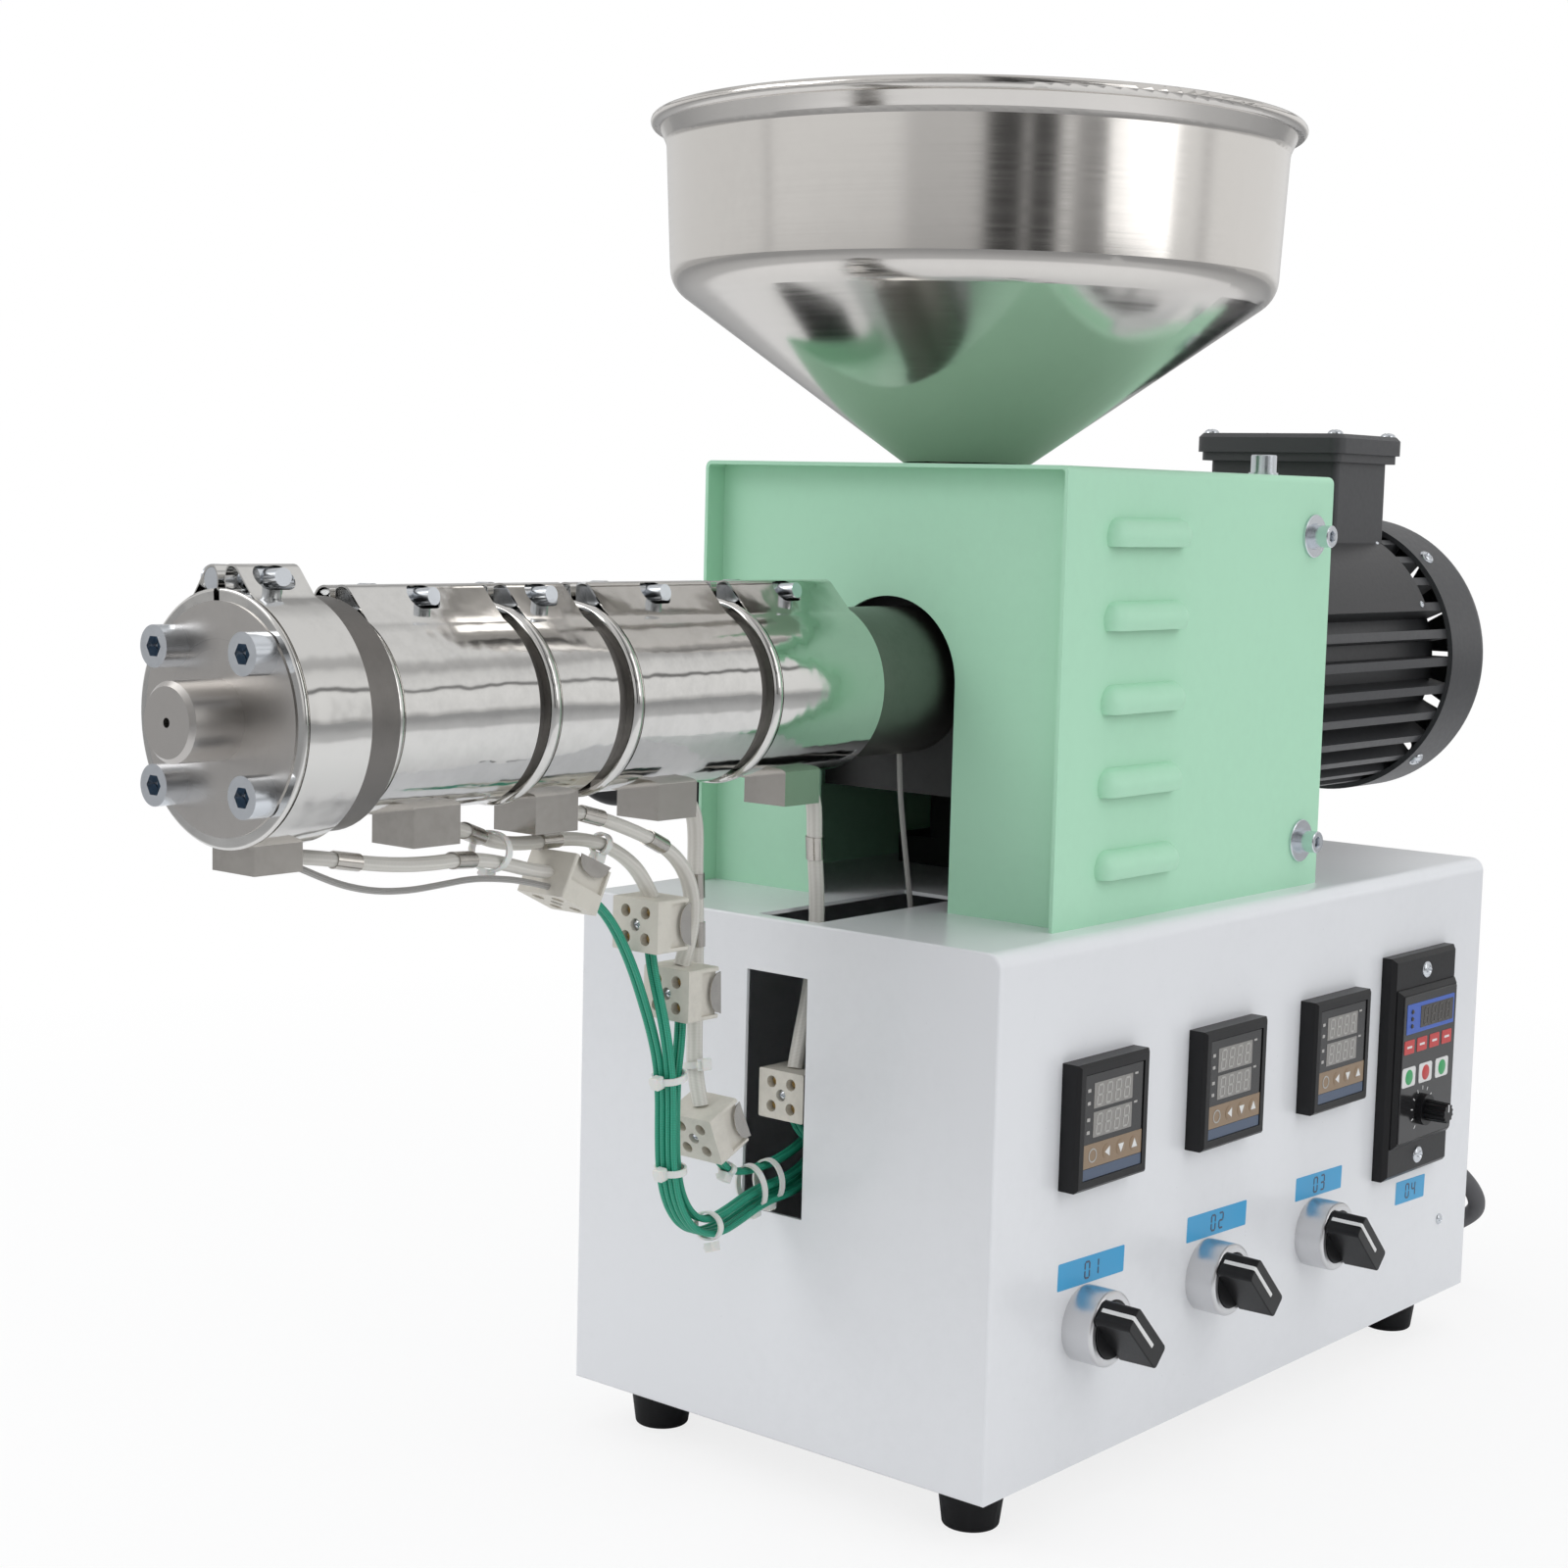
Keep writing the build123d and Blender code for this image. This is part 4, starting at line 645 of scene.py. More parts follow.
# The nodes that each finish covers
NODE_FINISHES = {
    "cabinet_paint": ["cabinet_wrap", "cabinet_front", "cabinet_rear", "cabinet_floor"],
    "foot_rubber": ["rubber_feet"],
    "hood_paint": ["hood_cover", "hood_front_plate", "hood_rear_plate"],
    "hopper_steel": ["hopper", "hopper_neck"],
    "cast_block": ["feed_block", "gear_reducer"],
    "barrel_steel": ["barrel"],
    "machined_steel": ["die_plate", "screw"],
    "zinc_steel": ["die_bolts", "die_band_clamp", "blower_hub", *numbered("barrel_band_clamp", 4)],
    "band_steel": ["die_heater_band", *numbered("barrel_heater_band", 4)],
    "box_steel": ["lead_boxes"],
    "motor_paint": ["motor_frame", "motor_fan_cowl", "motor_terminal_box", "motor_terminal_lid"],
    "black_plastic": [
        "speed_controller", "speed_knob", "blower_housing", "cable_gland", "mains_plug",
        *numbered("temperature_controller", 3), *numbered("selector_knob", 3),
    ],
    "selector_ring": ["selector_bezels"],
    "ceramic": ["terminal_blocks"],
    "cable_sheath": ["mains_coil", "mains_cable"],
    "white_sleeve": ["heater_leads", "blower_lead"],
    "green_wire": ["supply_wires"],
    "probe_braid": ["probe_leads"],
}

# The panel's small finishes: colour, roughness, relief, spread of the roughness and grain
PANEL_FINISHES = {
    "label_blue": ((0.045, 0.36, 0.66), 0.35, 0.04, 0.06, 200.0),
    "glass_dark": ((0.02, 0.02, 0.021), 0.16, 0.02, 0.04, 90.0),
    "display_grey": ((0.26, 0.25, 0.235), 0.3, 0.02, 0.05, 500.0),
    "digit_grey": ((0.42, 0.41, 0.39), 0.3, 0.02, 0.05, 500.0),
    "display_dark": ((0.045, 0.040, 0.036), 0.2, 0.02, 0.05, 500.0),
    "digit_dark": ((0.075, 0.068, 0.062), 0.3, 0.02, 0.05, 500.0),
    "key_brown": ((0.27, 0.19, 0.12), 0.4, 0.04, 0.05, 600.0),
    "strip_blue": ((0.07, 0.10, 0.16), 0.4, 0.03, 0.05, 600.0),
    "frame_blue": ((0.05, 0.12, 0.48), 0.4, 0.03, 0.05, 600.0),
    "mark_white": ((0.75, 0.75, 0.74), 0.45, 0.03, 0.05, 600.0),
    "mark_red": ((0.55, 0.05, 0.05), 0.4, 0.03, 0.05, 600.0),
    "mark_green": ((0.04, 0.36, 0.12), 0.4, 0.03, 0.05, 600.0),
}


class EXTRUDER_OT_materials(bpy.types.Operator):
    """Makes the materials and gives one to every CAD node"""

    bl_idname = "extruder.materials"
    bl_label = "Extruder materials"

    def execute(self, context):
        make_groups()
        material("cabinet_paint", (0.80, 0.81, 0.83), 0.30, bump=0.04, far=0.0001, soil=0.05, vary=0.05,
                 values={"Scale": 500.0}, Coat_Weight=0.25, Coat_Roughness=0.12)
        material("hood_paint", (0.45, 0.78, 0.56), 0.42, bump=0.12, far=0.00015, soil=0.05, vary=0.06,
                 values={"Scale": 900.0})
        material("hopper_steel", (0.70, 0.675, 0.645), 0.13, metal=1.0, effect="brushed_streaks", bump=0.03, far=0.0001,
                 vary=0.06, soil=0.05, values={"X": 6.0, "Y": 6.0, "Z": 700.0}, Anisotropic=0.7)
        material("band_steel", (0.70, 0.69, 0.67), 0.09, metal=1.0, bump=0.3, far=0.0026, vary=0.05, soil=0.2,
                 values={"Scale": 26.0})
        material("box_steel", (0.52, 0.495, 0.46), 0.2, metal=1.0, bump=0.3, far=0.0014, vary=0.10, soil=0.3,
                 values={"Scale": 40.0})
        material("machined_steel", (0.53, 0.51, 0.49), 0.32, metal=1.0, effect="turned_rings", bump=0.05, far=0.0001,
                 vary=0.08, soil=0.15, values={"Pitch": 2600.0})
        material("barrel_steel", (0.20, 0.19, 0.18), 0.40, metal=1.0, effect="turned_rings", bump=0.12, far=0.0002,
                 vary=0.10, soil=0.3, values={"Pitch": 2600.0})
        material("zinc_steel", (0.70, 0.73, 0.77), 0.24, metal=1.0, bump=0.06, vary=0.08, soil=0.1,
                 values={"Scale": 300.0})
        material("cast_block", (0.030, 0.030, 0.030), 0.7, bump=0.3, far=0.0006, vary=0.1, soil=0.2,
                 values={"Scale": 260.0})
        material("motor_paint", (0.050, 0.051, 0.054), 0.42, bump=0.12, far=0.0003, vary=0.08, soil=0.1,
                 values={"Scale": 420.0})
        material("black_plastic", (0.006, 0.006, 0.007), 0.36, bump=0.05, vary=0.06, soil=0.05,
                 values={"Scale": 800.0}, Specular_IOR_Level=0.32)
        material("selector_ring", (0.70, 0.70, 0.71), 0.30, metal=1.0, effect="brushed_streaks", bump=0.04, vary=0.05,
                 values={"X": 900.0, "Y": 20.0, "Z": 20.0})
        material("foot_rubber", (0.006, 0.006, 0.007), 0.55, bump=0.15, vary=0.1, soil=0.3,
                 values={"Scale": 500.0}, Specular_IOR_Level=0.25)
        material("ceramic", (0.66, 0.63, 0.56), 0.55, bump=0.2, far=0.0003, vary=0.08, soil=0.3,
                 values={"Scale": 350.0})
        material("cable_sheath", (0.10, 0.10, 0.105), 0.5, bump=0.08, vary=0.08, values={"Scale": 300.0})
        # Dark blue for the die bolts' socket floors: painted shade deep in each socket
        material("socket_shade_blue", (0.03, 0.075, 0.13), 0.3, metal=0.4, bump=0.05, values={"Scale": 300.0})
        material("brass", (0.62, 0.45, 0.2), 0.3, metal=1.0, bump=0.05, soil=0.2, values={"Scale": 300.0})
        for name, (colour, rough, bump, vary, scale) in PANEL_FINISHES.items():
            material(name, colour, rough, bump=bump, vary=vary, values={"Scale": scale})
        material("tie_nylon", (0.74, 0.75, 0.72), 0.35, bump=0.04, vary=0.05, values={"Scale": 500.0},
                 Subsurface_Weight=0.2, Subsurface_Scale=0.002)
        material("plate_dark", (0.06, 0.06, 0.062), 0.4, metal=0.6, bump=0.05, vary=0.06, values={"Scale": 500.0})
        # The second colour of each braid is its painted highlight on the crests of the weave
        braided("white_sleeve", (0.62, 0.60, 0.55), (0.80, 0.78, 0.73), 6000.0)
        braided("green_wire", (0.006, 0.18, 0.105), (0.03, 0.44, 0.28), 5200.0, 0.42)
        braided("probe_braid", (0.20, 0.19, 0.18), (0.5, 0.49, 0.47), 9000.0, 0.35)
        for name, nodes in NODE_FINISHES.items():
            for node in nodes:
                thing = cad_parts[node]
                thing.data.materials.clear()
                thing.data.materials.append(MATERIALS[name])
        return {"FINISHED"}


# Heater bands as wide as the photograph's


def fitted(node, name, finish, carry):
    """A node's mesh with its points at (r, y, a) about the barrel's axis carried to (r', y', a'), a from the top."""
    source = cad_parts[node].data
    source.calc_loop_triangles()
    corners = np.empty(len(source.vertices) * 3, dtype=np.float32)
    source.vertices.foreach_get("co", corners)
    faces = np.empty(len(source.loop_triangles) * 3, dtype=np.int32)
    source.loop_triangles.foreach_get("vertices", faces)
    points, place = np.unique(np.round(corners.reshape(-1, 3).astype(float), 6), axis=0, return_inverse=True)
    faces = place.ravel()[faces.reshape(-1, 3)]
    whole = (faces[:, 0] != faces[:, 1]) & (faces[:, 1] != faces[:, 2]) & (faces[:, 2] != faces[:, 0])
    across, along, up = ((points - row((0, 0, AXIS_Z))) * 1000).T
    radius, along, turn = carry(np.hypot(across, up), along, np.arctan2(across, up))
    points = row(np.stack([radius * np.sin(turn), along, AXIS_Z + radius * np.cos(turn)], axis=1))
    mesh = bpy.data.meshes.new(name)
    mesh.from_pydata(points.tolist(), [], faces[whole].tolist())
    mesh.materials.append(MATERIALS[finish])
    smooth(mesh, FITTED_SHARP_ANGLE)
    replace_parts(put(name, mesh), node)


def closer(turn, step):
    """Turns from the top with the two loops of a strap brought nearer, a' = a - s(|a|), and the slit set aside."""
    moved = np.interp(np.abs(turn), LOOP_STOPS, (0, step, step, 0))
    return turn - np.sign(turn) * moved + BAND_TURN


class EXTRUDER_OT_bands(bpy.types.Operator):
    """Puts the barrel, its heater bands and their clamps at the photograph's girth and places"""

    bl_idname = "extruder.bands"
    bl_label = "Extruder bands"

    def execute(self, context):
        grow = context.scene.extruder_leads.band_grow * 1000

        def barrel(radius, along, turn):
            return np.where(np.abs(radius - BARREL_RADIUS) < 0.5, radius + grow, radius), along, turn

        fitted("barrel", "barrel_tube", "barrel_steel", barrel)
        for number, (old, new) in enumerate(BAND_SPANS, 1):

            def band(radius, along, turn, old=old, new=new):
                share = (along - old[0]) / (old[1] - old[0])
                return radius + grow, new[0] + share * (new[1] - new[0]), closer(turn, BARREL_LOOP_MOVE)

            def clasp(radius, along, turn, old=old, new=new):
                radius, along, turn = band(radius, along, turn, old, new)
                return radius, np.maximum(along, new[0] + PIN_RECESS), turn

            fitted(f"barrel_heater_band_{number}", f"band_jacket_{number}", "band_steel", band)
            fitted(f"barrel_band_clamp_{number}", f"band_clasp_{number}", "zinc_steel", clasp)
        front, rear = ends("die_heater_band")

        def die_band(radius, along, turn):
            bead = (along < front + BEAD_END) & (radius > DIE_SHEATH)
            radius = np.where(bead, DIE_SHEATH + (radius - DIE_SHEATH) * BEAD_SHARE, radius)
            old = (front, front + DIE_STOPS[0], front + DIE_STOPS[1], rear)
            new = (front, front + DIE_NEW_STOPS[0], front + DIE_NEW_STOPS[1], rear)
            return radius, np.interp(along, old, new), closer(turn, DIE_LOOP_MOVE)

        def die_clasp(radius, along, turn):
            radius, along, turn = die_band(radius, along, turn)
            return radius, np.where(turn > BAND_TURN, np.maximum(along, front + PIN_RECESS), along), turn

        fitted("die_heater_band", "die_jacket", "band_steel", die_band)
        fitted("die_band_clamp", "die_clasp", "zinc_steel", die_clasp)
        return {"FINISHED"}


# Leads

# Diameters in metres of a sleeved lead, a supply pair and the blower's lead, as the solids have them, and half the
# millimetres between a pair's wires
SLEEVE_SIZE = 0.0065
PAIR_SIZE = 0.005
PAIR_GAP = 0.05
BLOWER_WIRE_SIZE = 0.0034

# From a diameter in metres to a radius in millimetres
TO_RADIUS = 500

# The mains coil: middle, outer radius, lowest height and gap in millimetres, turns and control points a turn
COIL_MIDDLE = (-20.0, 455.0)
COIL_RADIUS = 51.4
COIL_LOW = -15.7
COIL_GAP = 0.3
COIL_TURNS = 4
COIL_POINTS = 18


class EXTRUDER_OT_leads(bpy.types.Operator):
    """Lays the sleeved heater leads, the braided supply pairs, the probe leads, the blower's and the mains lead"""

    bl_idname = "extruder.leads"
    bl_label = "Extruder leads"

    def execute(self, context):
        sizes = context.scene.extruder_leads
        diameters = (sizes.wire_diameter, sizes.probe_diameter, BLOWER_WIRE_SIZE)
        wire, thin, blower = (diameter * TO_RADIUS for diameter in diameters)
        sleeve = [oval(sizes.sleeve_width * TO_RADIUS, sizes.sleeve_height * TO_RADIUS)]
        pair = [oval(wire, wire, 12, (side * (wire + PAIR_GAP), 0)) for side in (-1, 1)]
        for name, points in LEADS.items():
            self.lay(name, points, sleeve, "white_sleeve", "white_sleeve", "heater_leads", SLEEVE_SIZE)
        for name, points in SUPPLIES.items():
            self.lay(name, points, pair, "green_wire", "green_wire", "supply_wires", PAIR_SIZE)
        probe = [oval(thin, thin, 8)]
        for name, points in PROBES.items():
            self.lay(name, points, probe, "probe_braid", "white_sleeve", "probe_leads", sizes.probe_diameter)
        round_wire = [oval(blower, blower, 10)]
        self.lay(
            "blower_wire", BLOWER_LEAD, round_wire, "white_sleeve", "white_sleeve", "blower_lead", BLOWER_WIRE_SIZE
        )
        self.mains(sizes.mains_diameter)
        return {"FINISHED"}

    def lay(self, name, points, sections, finish, slot, node, diameter):
        """A lead along its route with a tube for each section, in place of a node."""
        line, length = spline(points)
        pile = Pile()
        for section in sections:
            grid, coords = tube(line, section)
            pile.add(grid, coords=coords)
        thing = pile.finish(name, [finish], slot)
        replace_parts(thing, node)

    def mains(self, diameter):
        """The mains lead as one curve: down from the gland, four turns of the coil and out to the plug.

        The last sixth of a turn leads over to the next one.
        """
        step = diameter * 1000 + COIL_GAP
        radius = [COIL_RADIUS, COIL_RADIUS - step, COIL_RADIUS - step, COIL_RADIUS]
        level = [COIL_LOW, COIL_LOW, COIL_LOW + step, COIL_LOW + step]
        coil = []
        last = COIL_TURNS - 1
        for k in range(COIL_TURNS * COIL_POINTS + 1):
            part = k / COIL_POINTS
            now = min(int(part), last)
            share = min(max((part - now) * 6 - 5, 0), 1) if now < last else 0
            after = min(now + 1, last)
            r = radius[now] + (radius[after] - radius[now]) * share
            z = level[now] + (level[after] - level[now]) * share
            angle = -math.pi / 2 - 2 * math.pi * part
            coil.append((COIL_MIDDLE[0] + r * math.cos(angle), COIL_MIDDLE[1] + r * math.sin(angle), z))
        points = MAINS + coil + MAINS_TAIL
        _, length = spline(points)
        data = route_curve("mains_lead", row(points), 6)
        data.bevel_depth = diameter / 2
        data.bevel_resolution = 4
        data.use_fill_caps = True
        data.materials.append(MATERIALS["cable_sheath"])
        thing = put("mains_lead", data)
        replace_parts(thing, "mains_cable", "mains_coil")


# Small hardware

SCREWS_ON_HOOD = [(side * 88.6, 236.4, z) for side in (-1, 1) for z in (350.4, 222.0)]
LID_SCREWS = [(x, y, 396.8) for x in (-33, 33) for y in (353.9, 405.9)]
REAR_SCREWS = [(x, 387, z) for x in (-92, 92) for z in (12, 190)]

# Terminal blocks: middle, and degrees that the face leans down
BLOCKS = [
    ((0, -115, 228), 64.0),
    ((0, -71, 209), 0.0),
    ((0, -54, 182), 0.0),
    ((0, -38, 129), 24.0),
    ((0, 12, 134), 0.0),
]

# In millimetres: the fan cowl's screws and the die bolts from the axis, the depth of the bolts' sockets, and the
# outer face of the speed controller's ears
COWL_SCREW_RADIUS = 67.0
BOLT_SPREAD = 21.0
SOCKET_DEPTH = 3.9
EAR_X = 109.25


class EXTRUDER_OT_fasteners(bpy.types.Operator):
    """Sets the screws, washers and terminal screws that show on the machine"""

    bl_idname = "extruder.fasteners"
    bl_label = "Extruder fasteners"

    def execute(self, context):
        washers, heads, pans = Pile(), Pile(), Pile()
        for place in SCREWS_ON_HOOD:
            axis = (math.copysign(1, place[0]), 0, 0)
            washers.add(turned([(9, 0), (9, 1.0), (8.7, 1.3), (3, 1.3)], place, axis, 36))
            base = np.add(place, np.multiply(axis, 1.3))
            heads.add(turned([(5.4, 0), (5.4, 1.4), (4.2, 1.4)], base, axis, 24))
            heads.add(socket_head(np.add(base, np.multiply(axis, 1.4)), axis, 4.6, 6.2, 4.4, 3.4))
        heads.add(turned([(6.2, 0), (6.2, 1.2), (4.2, 1.2)], (66, 232, 375.2), (0, 0, 1), 28))
        heads.add(socket_head((66, 232, 376.4), (0, 0, 1), 5.4, 7.4, 5.0, 4.0))
        for place in LID_SCREWS:
            pans.add(pan_head(place, (0, 0, 1), 3.6, 2.0))
        for angle in (47, 133, 227, 313):
            out = (math.cos(math.radians(angle)), 0, math.sin(math.radians(angle)))
            spot = (COWL_SCREW_RADIUS * out[0], 427, AXIS_Z + COWL_SCREW_RADIUS * out[2])
            pans.add(pan_head(spot, out, 3.8, 2.2))
        for z in (159, 75):
            pans.add(pan_head((EAR_X, 320, z), (1, 0, 0), 3.9, 1.8))
        pans.add(pan_head((SIDE_X, 358.8, 36.3), (1, 0, 0), 2.6, 1.4))
        for place in REAR_SCREWS:
            pans.add(pan_head(place, (0, 1, 0), 3.2, 1.7))
        # A dark blue disc on each die bolt's socket floor: painted shade deep in the socket
        sockets = Pile()
        floor = ends("die_bolts")[0] + SOCKET_DEPTH
        for x in (-BOLT_SPREAD, BOLT_SPREAD):
            for z in (-BOLT_SPREAD, BOLT_SPREAD):
                spot = (x, floor, AXIS_Z + z)
                sockets.add(turned([(2.9, 0), (2.9, 0.3), (0.1, 0.3)], spot, (0, -1, 0), 24))
        sockets.finish("painted_socket_shade", ["socket_shade_blue"], slot="zinc_steel")
        for pile, name in ((washers, "hood_washers"), (heads, "hood_screws"), (pans, "pan_screws")):
            pile.finish(name, ["zinc_steel"], slot="zinc_steel")
        terminals = Pile()
        bow = np.linspace(-np.pi / 2, np.pi / 2, 15)
        arc = np.stack([8 - 4.6 * np.cos(bow), 7.4 * np.sin(bow)], axis=1)
        plate = np.concatenate([arc, [(8.8, 7.6), (9.4, -8)]])
        for middle, lean in BLOCKS:
            a = math.radians(lean)
            up = np.array([0, -math.sin(a), math.cos(a)])
            out = np.array([0, -math.cos(a), -math.sin(a)])
            face = np.asarray(middle) + 8 * out
            terminals.add(pan_head(face - 2.2 * out, out, 2.1, 1.6, slots=1), slot=0)
            for side in (-1, 1):
                outline = plate * np.array([side, 1])
                terminals.add(prism(np.add(middle, (side * 10.9, 0, 0)), (side, 0, 0), up, outline, 0.4), slot=2)
            for x in (-4.75, 4.75):
                for h in (-4.75, 4.75):
                    spot = face + up * h + np.array([x, 0, 0]) - 3.3 * out
                    terminals.add(pan_head(spot, out, 2.0, 1.0, slots=1), slot=1)
        terminals.finish("terminal_screws", ["zinc_steel", "brass", "box_steel"], slot="zinc_steel")
        return {"FINISHED"}


# Panel faces

SEGMENTS = {
    "a": (0, 1, 1), "b": (0.5, 0.5, 0), "c": (0.5, -0.5, 0), "d": (0, -1, 1), "e": (-0.5, -0.5, 0),
    "f": (-0.5, 0.5, 0), "g": (0, 0, 1),
}
NUMERALS = {"0": "abcdef", "1": "bc", "2": "abged", "3": "abgcd", "4": "fgbc", "8": "abcdefg"}

# The panel's places in millimetres: controller faces, the speed controller's face and its dial, selectors
CONTROLLER_X, CONTROLLER_Z, CONTROLLER_SIZE = 109.95, 133.3, 40
CONTROLLER_Y = (65.7, 154.1, 242.5)
SPEED_X, SPEED_Y, SPEED_Z = 111.75, 290, 167
SPEED_WIDTH, SPEED_HEIGHT = 60, 100
DIAL_X, DIAL_Y, DIAL_Z, DIAL_TICKS = 125.25, 316, 97, 9.6
SELECTOR_Y, SELECTOR_Z = (62.0, 149.6, 237.2), 55.0

# Label strips: middle, width, height and numeral
STRIPS = [
    (66.2, 75, 45, 10.4, "1"),
    (157.5, 75, 46, 10.4, "2"),
    (241.6, 75, 40, 10, "3"),
    (328, 56, 28, 10.5, "4"),
]

# The line on a selector's blade: millimetres along the blade and out from the cabinet's middle
MARK_LINE = [
    (-5, 131.35), (5, 131.35), (13.2, 131.4), (13.9, 131.4), (14.4, 131.2), (14.5, 130.5), (14.5, 129.5),
    (14.45, 124), (14.6, 117.6),
]


# The panel side's outward and upward directions
OUT, UP = (1, 0, 0), (0, 0, 1)


def plate(pile, slot, centre, *sizes):
    """A slab that lies on the panel side."""
    pile.add(slab(centre, OUT, UP, *sizes), slot)


def numeral(pile, digit, centre, normal, up, width, height, stroke, slot, lean=0.12):
    """One numeral of straight strokes, each a six-sided prism, leaning a little to the right."""
    for key in NUMERALS[digit]:
        x, y, flat = SEGMENTS[key]
        length = (width if flat else height / 2) - stroke * 0.4
        h = stroke / 2
        e = length / 2
        outline = np.array([(-e, 0), (-e + h, -h), (e - h, -h), (e, 0), (e - h, h), (-e + h, h)])
        if not flat:
            outline = outline[:, ::-1] * np.array([-1, 1])
        spot = np.array([x * width, y * height / 2])
        points = outline + spot
        points[:, 0] += points[:, 1] * lean
        pile.add(prism(centre, normal, up, points, 0.12), slot)


class EXTRUDER_OT_controls(bpy.types.Operator):
    """Dresses the panel: controller faces, speed controller face, selector marks and label strips"""

    bl_idname = "extruder.controls"
    bl_label = "Extruder controls"

    def execute(self, context):
        for number, y in enumerate(CONTROLLER_Y, 1):
            self.controller(number, y)
        self.speed()
        for number, y in enumerate(SELECTOR_Y, 1):
            self.mark(number, y)
        self.labels()
        return {"FINISHED"}

    def controller(self, number, y):
        """A 40 mm face: dark window, two displays of four numerals, lamps, a brown key strip and a blue strip."""
        face = Pile()

        def spot(u, v, proud=0.0):
            across, down = (u - 0.5) * CONTROLLER_SIZE, (v - 0.5) * CONTROLLER_SIZE
            return np.array([CONTROLLER_X + proud, y + across, CONTROLLER_Z - down])

        plate(face, 0, spot(0.5, 0.5), 39.6, 39.6, 0.35, 0.6)
        for v in (0.215, 0.49):
            plate(face, 1, spot(0.48, v, 0.35), 26.0, 9.6, 0.15, 0.3, 0.05)
            for k in range(4):
                numeral(face, "8", spot(0.48 + (k - 1.5) * 0.152, v, 0.5), OUT, UP, 3.2, 7.4, 0.7, 2)
            for k in (-1, 1):
                plate(face, 2, spot(0.075, v + k * 0.06, 0.35), 2.0, 1.3, 0.12, 0.2, 0.05)
            plate(face, 2, spot(0.87, v - 0.11, 0.35), 2.2, 0.8, 0.1, 0.1, 0.04)
        plate(face, 3, spot(0.5, 0.775, 0.35), 39.4, 9.0, 0.15, 0.2, 0.05)
        plate(face, 4, spot(0.5, 0.945, 0.35), 39.4, 4.2, 0.12, 0.2, 0.04)
        ring = [(2.7, 0), (2.7, 0.15), (2.2, 0.15), (2.2, 0.0)]
        face.add(turned(ring, spot(0.16, 0.775, 0.5), OUT, 28), 2, caps=False)
        shapes = {
            0.40: [(-1.7, 0), (1.5, -1.9), (1.5, 1.9)],
            0.63: [(0, -1.9), (1.9, 1.5), (-1.9, 1.5)],
            0.86: [(0, 1.9), (-1.9, -1.5), (1.9, -1.5)],
        }
        for u, outline in shapes.items():
            face.add(turned([(2.9, 0), (2.9, 0.1), (2.6, 0.25), (0.1, 0.25)], spot(u, 0.775, 0.5), OUT, 28), 3)
            face.add(prism(spot(u, 0.775, 0.7), OUT, UP, outline, 0.15), 5)
        names = ["glass_dark", "display_grey", "digit_grey", "key_brown", "strip_blue", "mark_white"]
        face.finish(f"controller_face_{number}", names, slot="black_plastic")

    def speed(self):
        """The speed controller's face: raised middle, blue frame with display and lamps, four keys, three buttons."""
        face = Pile()

        def spot(u, v, proud=0.0):
            return np.array([SPEED_X + proud, SPEED_Y + u * SPEED_WIDTH, SPEED_Z - v * SPEED_HEIGHT])

        plate(face, 0, spot(0.5, 0.5), 50.4, 66, 0.5, 0.8)
        plate(face, 1, spot(0.5, 0.275, 0.5), 45.5, 13.4, 0.2, 0.5, 0.06)
        plate(face, 2, spot(0.595, 0.275, 0.7), 31.5, 9.8, 0.15, 0.3, 0.05)
        for k in range(4):
            numeral(face, "8", spot(0.595 + (k - 1.5) * 0.115, 0.275, 0.85), OUT, UP, 3.6, 7.4, 0.7, 3)
        for v in (0.243, 0.275, 0.307):
            face.add(turned([(1.0, 0), (1.0, 0.3), (0.7, 0.6), (0.05, 0.7)], spot(0.20, v, 0.7), OUT, 18), 2)
        for u in (0.18, 0.38, 0.58, 0.78):
            plate(face, 4, spot(u, 0.4, 0.5), 9.4, 6.2, 0.2, 0.6, 0.06)
            plate(face, 5, spot(u, 0.4, 0.7), 4.6, 1.0, 0.1, 0.2, 0.03)
        for u, colour in ((0.19, 6), (0.455, 4), (0.72, 6)):
            plate(face, 5, spot(u, 0.535, 0.5), 12.4, 8.8, 0.35, 1.2, 0.15)
            face.add(turned([(3.4, 0), (3.4, 0.12), (3.2, 0.2), (0.1, 0.2)], spot(u, 0.535, 0.85), OUT, 28), colour)
        for step in range(11):
            a = math.radians(-50 + step * 28)
            ray = np.array([0, math.cos(a), math.sin(a)])
            tick = np.array([SPEED_X + 0.5, DIAL_Y, DIAL_Z]) + DIAL_TICKS * ray
            face.add(slab(tick, OUT, ray, 0.5, 1.8, 0.1, 0.1, 0.03), 5)
        names = ["glass_dark", "frame_blue", "display_dark", "digit_dark", "mark_red", "mark_white", "mark_green"]
        face.finish("speed_face", names, slot="black_plastic")
        pointer = Pile().add(slab((DIAL_X, DIAL_Y, DIAL_Z + 2.2), OUT, UP, 0.9, 3.4, 0.15, 0.3, 0.05))
        pointer.finish("speed_pointer", ["mark_white"], body="speed_dial", slot="black_plastic")

    def mark(self, number, y):
        """The white line on a selector's blade: along the outer face and down the pointing end."""
        centre = np.array([0.0, y, SELECTOR_Z])
        point = np.array([0, -math.sqrt(0.5), math.sqrt(0.5)])
        side = np.array([0, math.sqrt(0.5), math.sqrt(0.5)])
        line = np.array([centre + r * point + np.array([x, 0, 0]) for r, x in MARK_LINE])
        grid, coords = tube(spline(line, 0.5)[0], oval(0.85, 0.22, 12), hint=side)
        pile = Pile().add(grid, coords=coords)
        pile.finish(f"selector_mark_{number}", ["mark_white"], body=f"selector_{number}", slot="black_plastic")

